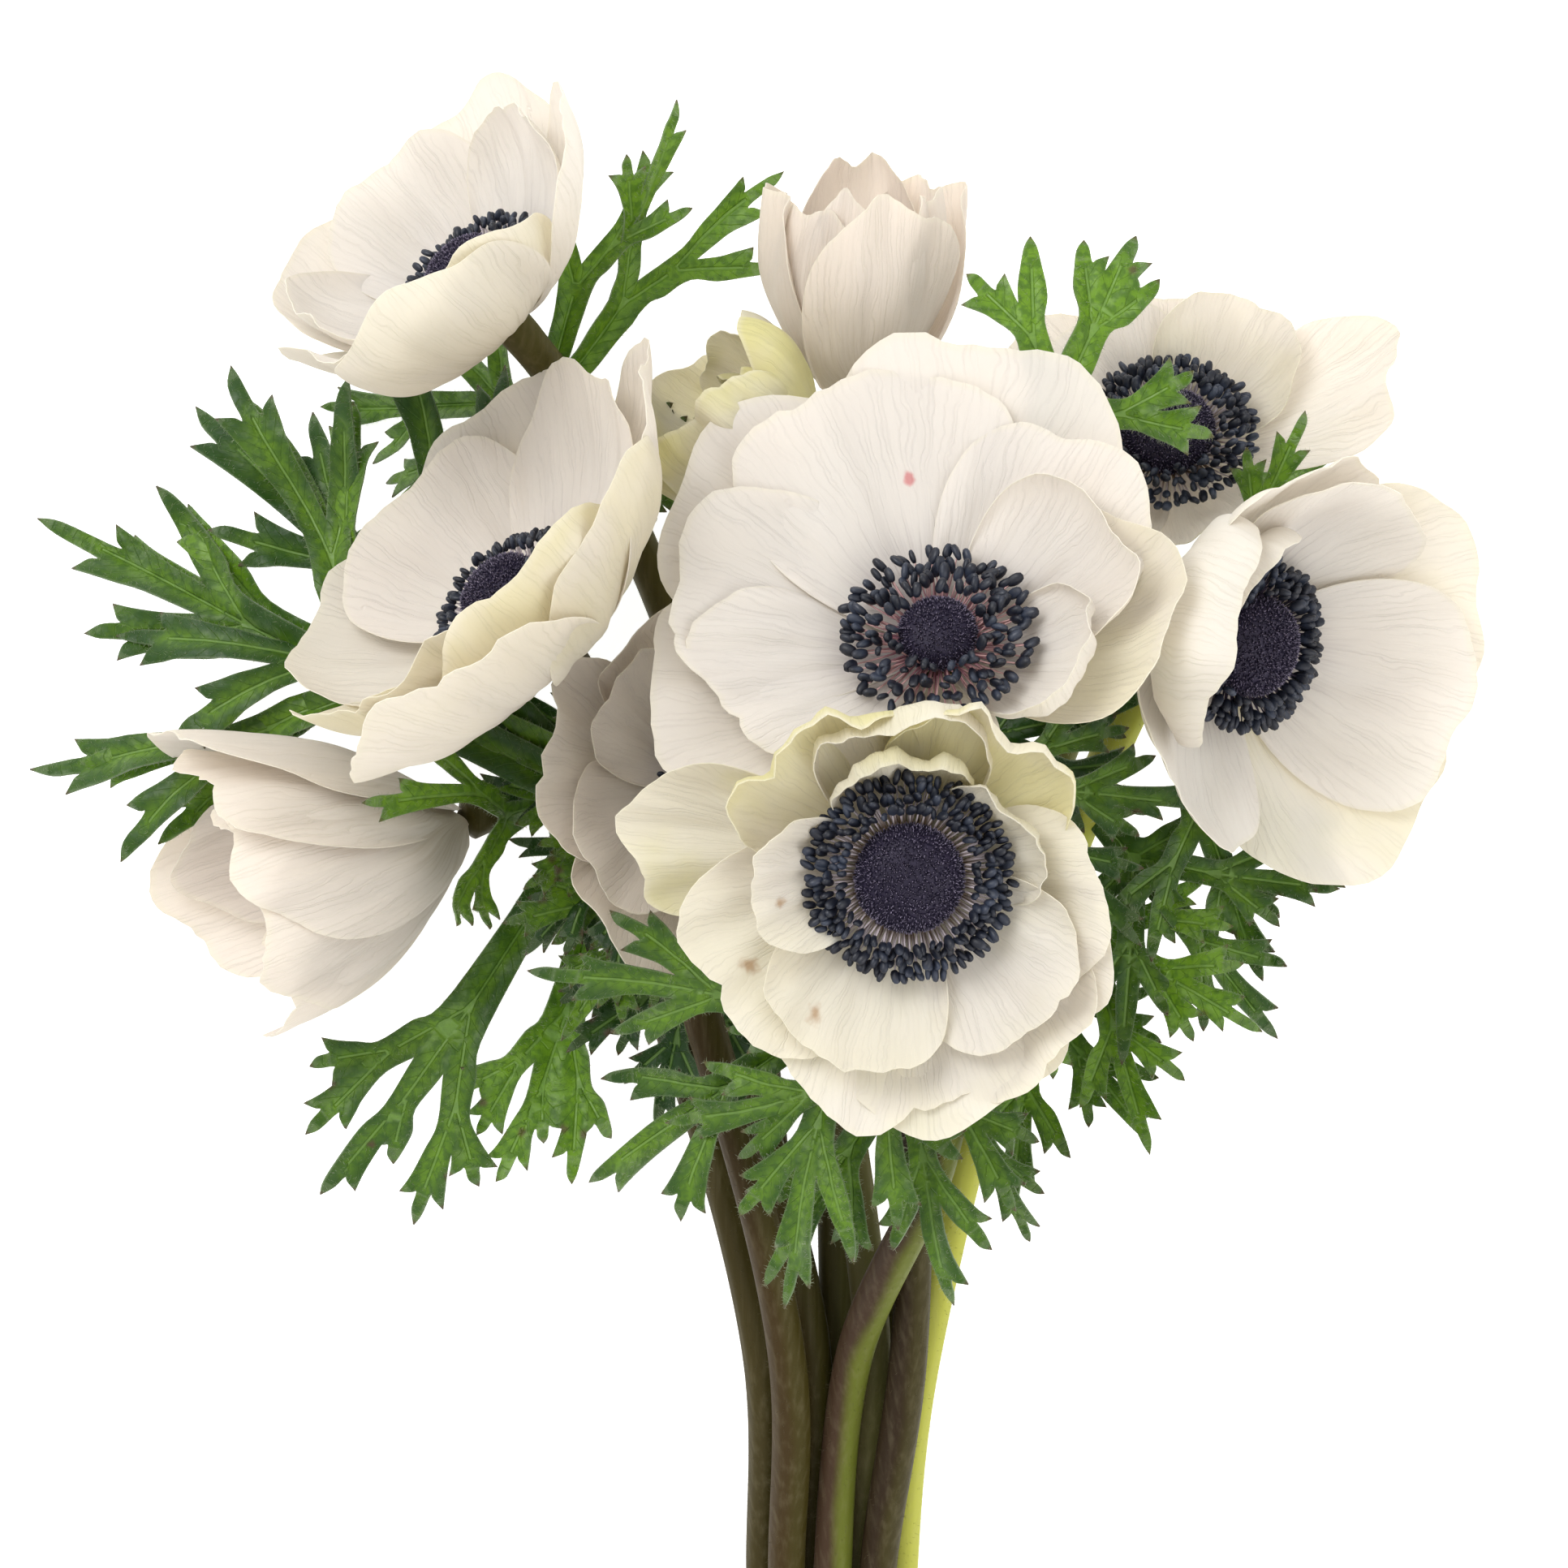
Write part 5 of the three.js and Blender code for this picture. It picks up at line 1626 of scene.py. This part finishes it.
# ---- Settings ----
class PetalSettings(bpy.types.PropertyGroup):
    thickness: bpy.props.FloatProperty(
        name="Thickness", description="Thickness of a petal at its root", default=0.00042, unit="LENGTH")
    rows: bpy.props.IntProperty(
        name="Rows", description="Steps from the root of a petal to its rim", default=40)
    columns: bpy.props.IntProperty(
        name="Columns", description="Steps across a petal", default=54)


class EyeSettings(bpy.types.PropertyGroup):
    bristles: bpy.props.FloatProperty(
        name="Bristles", description="Bristles on a square millimetre of the dome", default=6.0)
    bristle_height: bpy.props.FloatProperty(
        name="Bristle height", description="Height of a bristle", default=0.0006, unit="LENGTH")
    anther: bpy.props.FloatProperty(
        name="Anthers", description="Size of the anthers, as a share of their usual size", default=1.0)
    filament: bpy.props.FloatProperty(
        name="Filament", description="Thickness of a filament", default=0.00034, unit="LENGTH")


class StalkSettings(bpy.types.PropertyGroup):
    stalk_steps: bpy.props.IntProperty(
        name="Steps", description="Steps along a stalk", default=150)
    spacing: bpy.props.FloatProperty(
        name="Leaf net", description="Distance between the points of a leaf", default=0.0013, unit="LENGTH")
    leaf_thickness: bpy.props.FloatProperty(
        name="Leaf thickness", description="Thickness of a leaf", default=0.0006, unit="LENGTH")
    hair: bpy.props.FloatProperty(
        name="Hairs", description="Length of the hairs on stalks and leaves", default=0.0007, unit="LENGTH")


class BandSettings(bpy.types.PropertyGroup):
    wraps: bpy.props.IntProperty(
        name="Wraps", description="Times that the rubber band goes round the stalks", default=4)


class StageSettings(bpy.types.PropertyGroup):
    sky: bpy.props.FloatProperty(name="Surround", description="Brightness of the white surround", default=0.8)
    key: bpy.props.FloatProperty(
        name="Key", description="Power of the main light", default=10.0, unit="POWER")
    fill: bpy.props.FloatProperty(
        name="Fill", description="Power of the second light", default=8.0, unit="POWER")
    exposure: bpy.props.FloatProperty(name="Exposure", description="Exposure of the picture", default=0.0)


# ---- Operators ----
class BUNCH_OT_blooms(bpy.types.Operator):
    """Make the petals of the ten blooms"""
    bl_idname = "bunch.blooms"
    bl_label = "Blooms"

    def execute(self, context):
        make_blooms(context.scene.bunch_petals)
        return {"FINISHED"}


class BUNCH_OT_domes(bpy.types.Operator):
    """Make the domes in the eyes of the blooms, with their bristles"""
    bl_idname = "bunch.domes"
    bl_label = "Domes"

    def execute(self, context):
        make_domes(context.scene.bunch_eyes)
        return {"FINISHED"}


class BUNCH_OT_stamens(bpy.types.Operator):
    """Make the rings of stamens round the domes"""
    bl_idname = "bunch.stamens"
    bl_label = "Stamens"

    def execute(self, context):
        make_stamens(context.scene.bunch_eyes)
        return {"FINISHED"}


class BUNCH_OT_stalks(bpy.types.Operator):
    """Make the ten stalks, with their hairs"""
    bl_idname = "bunch.stalks"
    bl_label = "Stalks"

    def execute(self, context):
        make_stalks(context.scene.bunch_stalks)
        return {"FINISHED"}


class BUNCH_OT_leaves(bpy.types.Operator):
    """Make the cut leaves on the stalks"""
    bl_idname = "bunch.leaves"
    bl_label = "Leaves"

    def execute(self, context):
        make_leaves(context.scene.bunch_stalks)
        return {"FINISHED"}


class BUNCH_OT_band(bpy.types.Operator):
    """Make the rubber band round the stalks"""
    bl_idname = "bunch.band"
    bl_label = "Rubber band"

    def execute(self, context):
        make_band(context.scene.bunch_band)
        return {"FINISHED"}


class BUNCH_OT_stage(bpy.types.Operator):
    """Make the floor, the lights and the camera"""
    bl_idname = "bunch.stage"
    bl_label = "Stage"

    def execute(self, context):
        make_stage(context.scene.bunch_stage)
        return {"FINISHED"}


class BUNCH_PT_panel(bpy.types.Panel):
    """Everything that makes the bunch, in order"""
    bl_label = "Anemone bouquet"
    bl_space_type = "VIEW_3D"
    bl_region_type = "UI"
    bl_category = "Anemones"

    def draw(self, context):
        for operator in OPERATORS:
            self.layout.operator(operator.bl_idname)
        for name in SETTINGS:
            box = self.layout.box()
            group = getattr(context.scene, name)
            for key in type(group).__annotations__:
                box.prop(group, key)


OPERATORS = (
    BUNCH_OT_stage, BUNCH_OT_blooms, BUNCH_OT_domes, BUNCH_OT_stamens, BUNCH_OT_stalks, BUNCH_OT_leaves,
    BUNCH_OT_band,
)
SETTINGS = {
    "bunch_petals": PetalSettings, "bunch_eyes": EyeSettings, "bunch_stalks": StalkSettings,
    "bunch_band": BandSettings, "bunch_stage": StageSettings,
}


def register():
    for group in SETTINGS.values():
        bpy.utils.register_class(group)
    for operator in OPERATORS:
        bpy.utils.register_class(operator)
    bpy.utils.register_class(BUNCH_PT_panel)
    for name, group in SETTINGS.items():
        setattr(bpy.types.Scene, name, bpy.props.PointerProperty(type=group))


def unregister():
    for name in SETTINGS:
        delattr(bpy.types.Scene, name)
    bpy.utils.unregister_class(BUNCH_PT_panel)
    for operator in reversed(OPERATORS):
        bpy.utils.unregister_class(operator)
    for group in reversed(list(SETTINGS.values())):
        bpy.utils.unregister_class(group)


def main():
    register()
    bpy.ops.bunch.stage()
    bpy.ops.bunch.blooms()
    bpy.ops.bunch.domes()
    bpy.ops.bunch.stamens()
    bpy.ops.bunch.stalks()
    bpy.ops.bunch.leaves()
    bpy.ops.bunch.band()


if __name__ == "__main__":
    main()
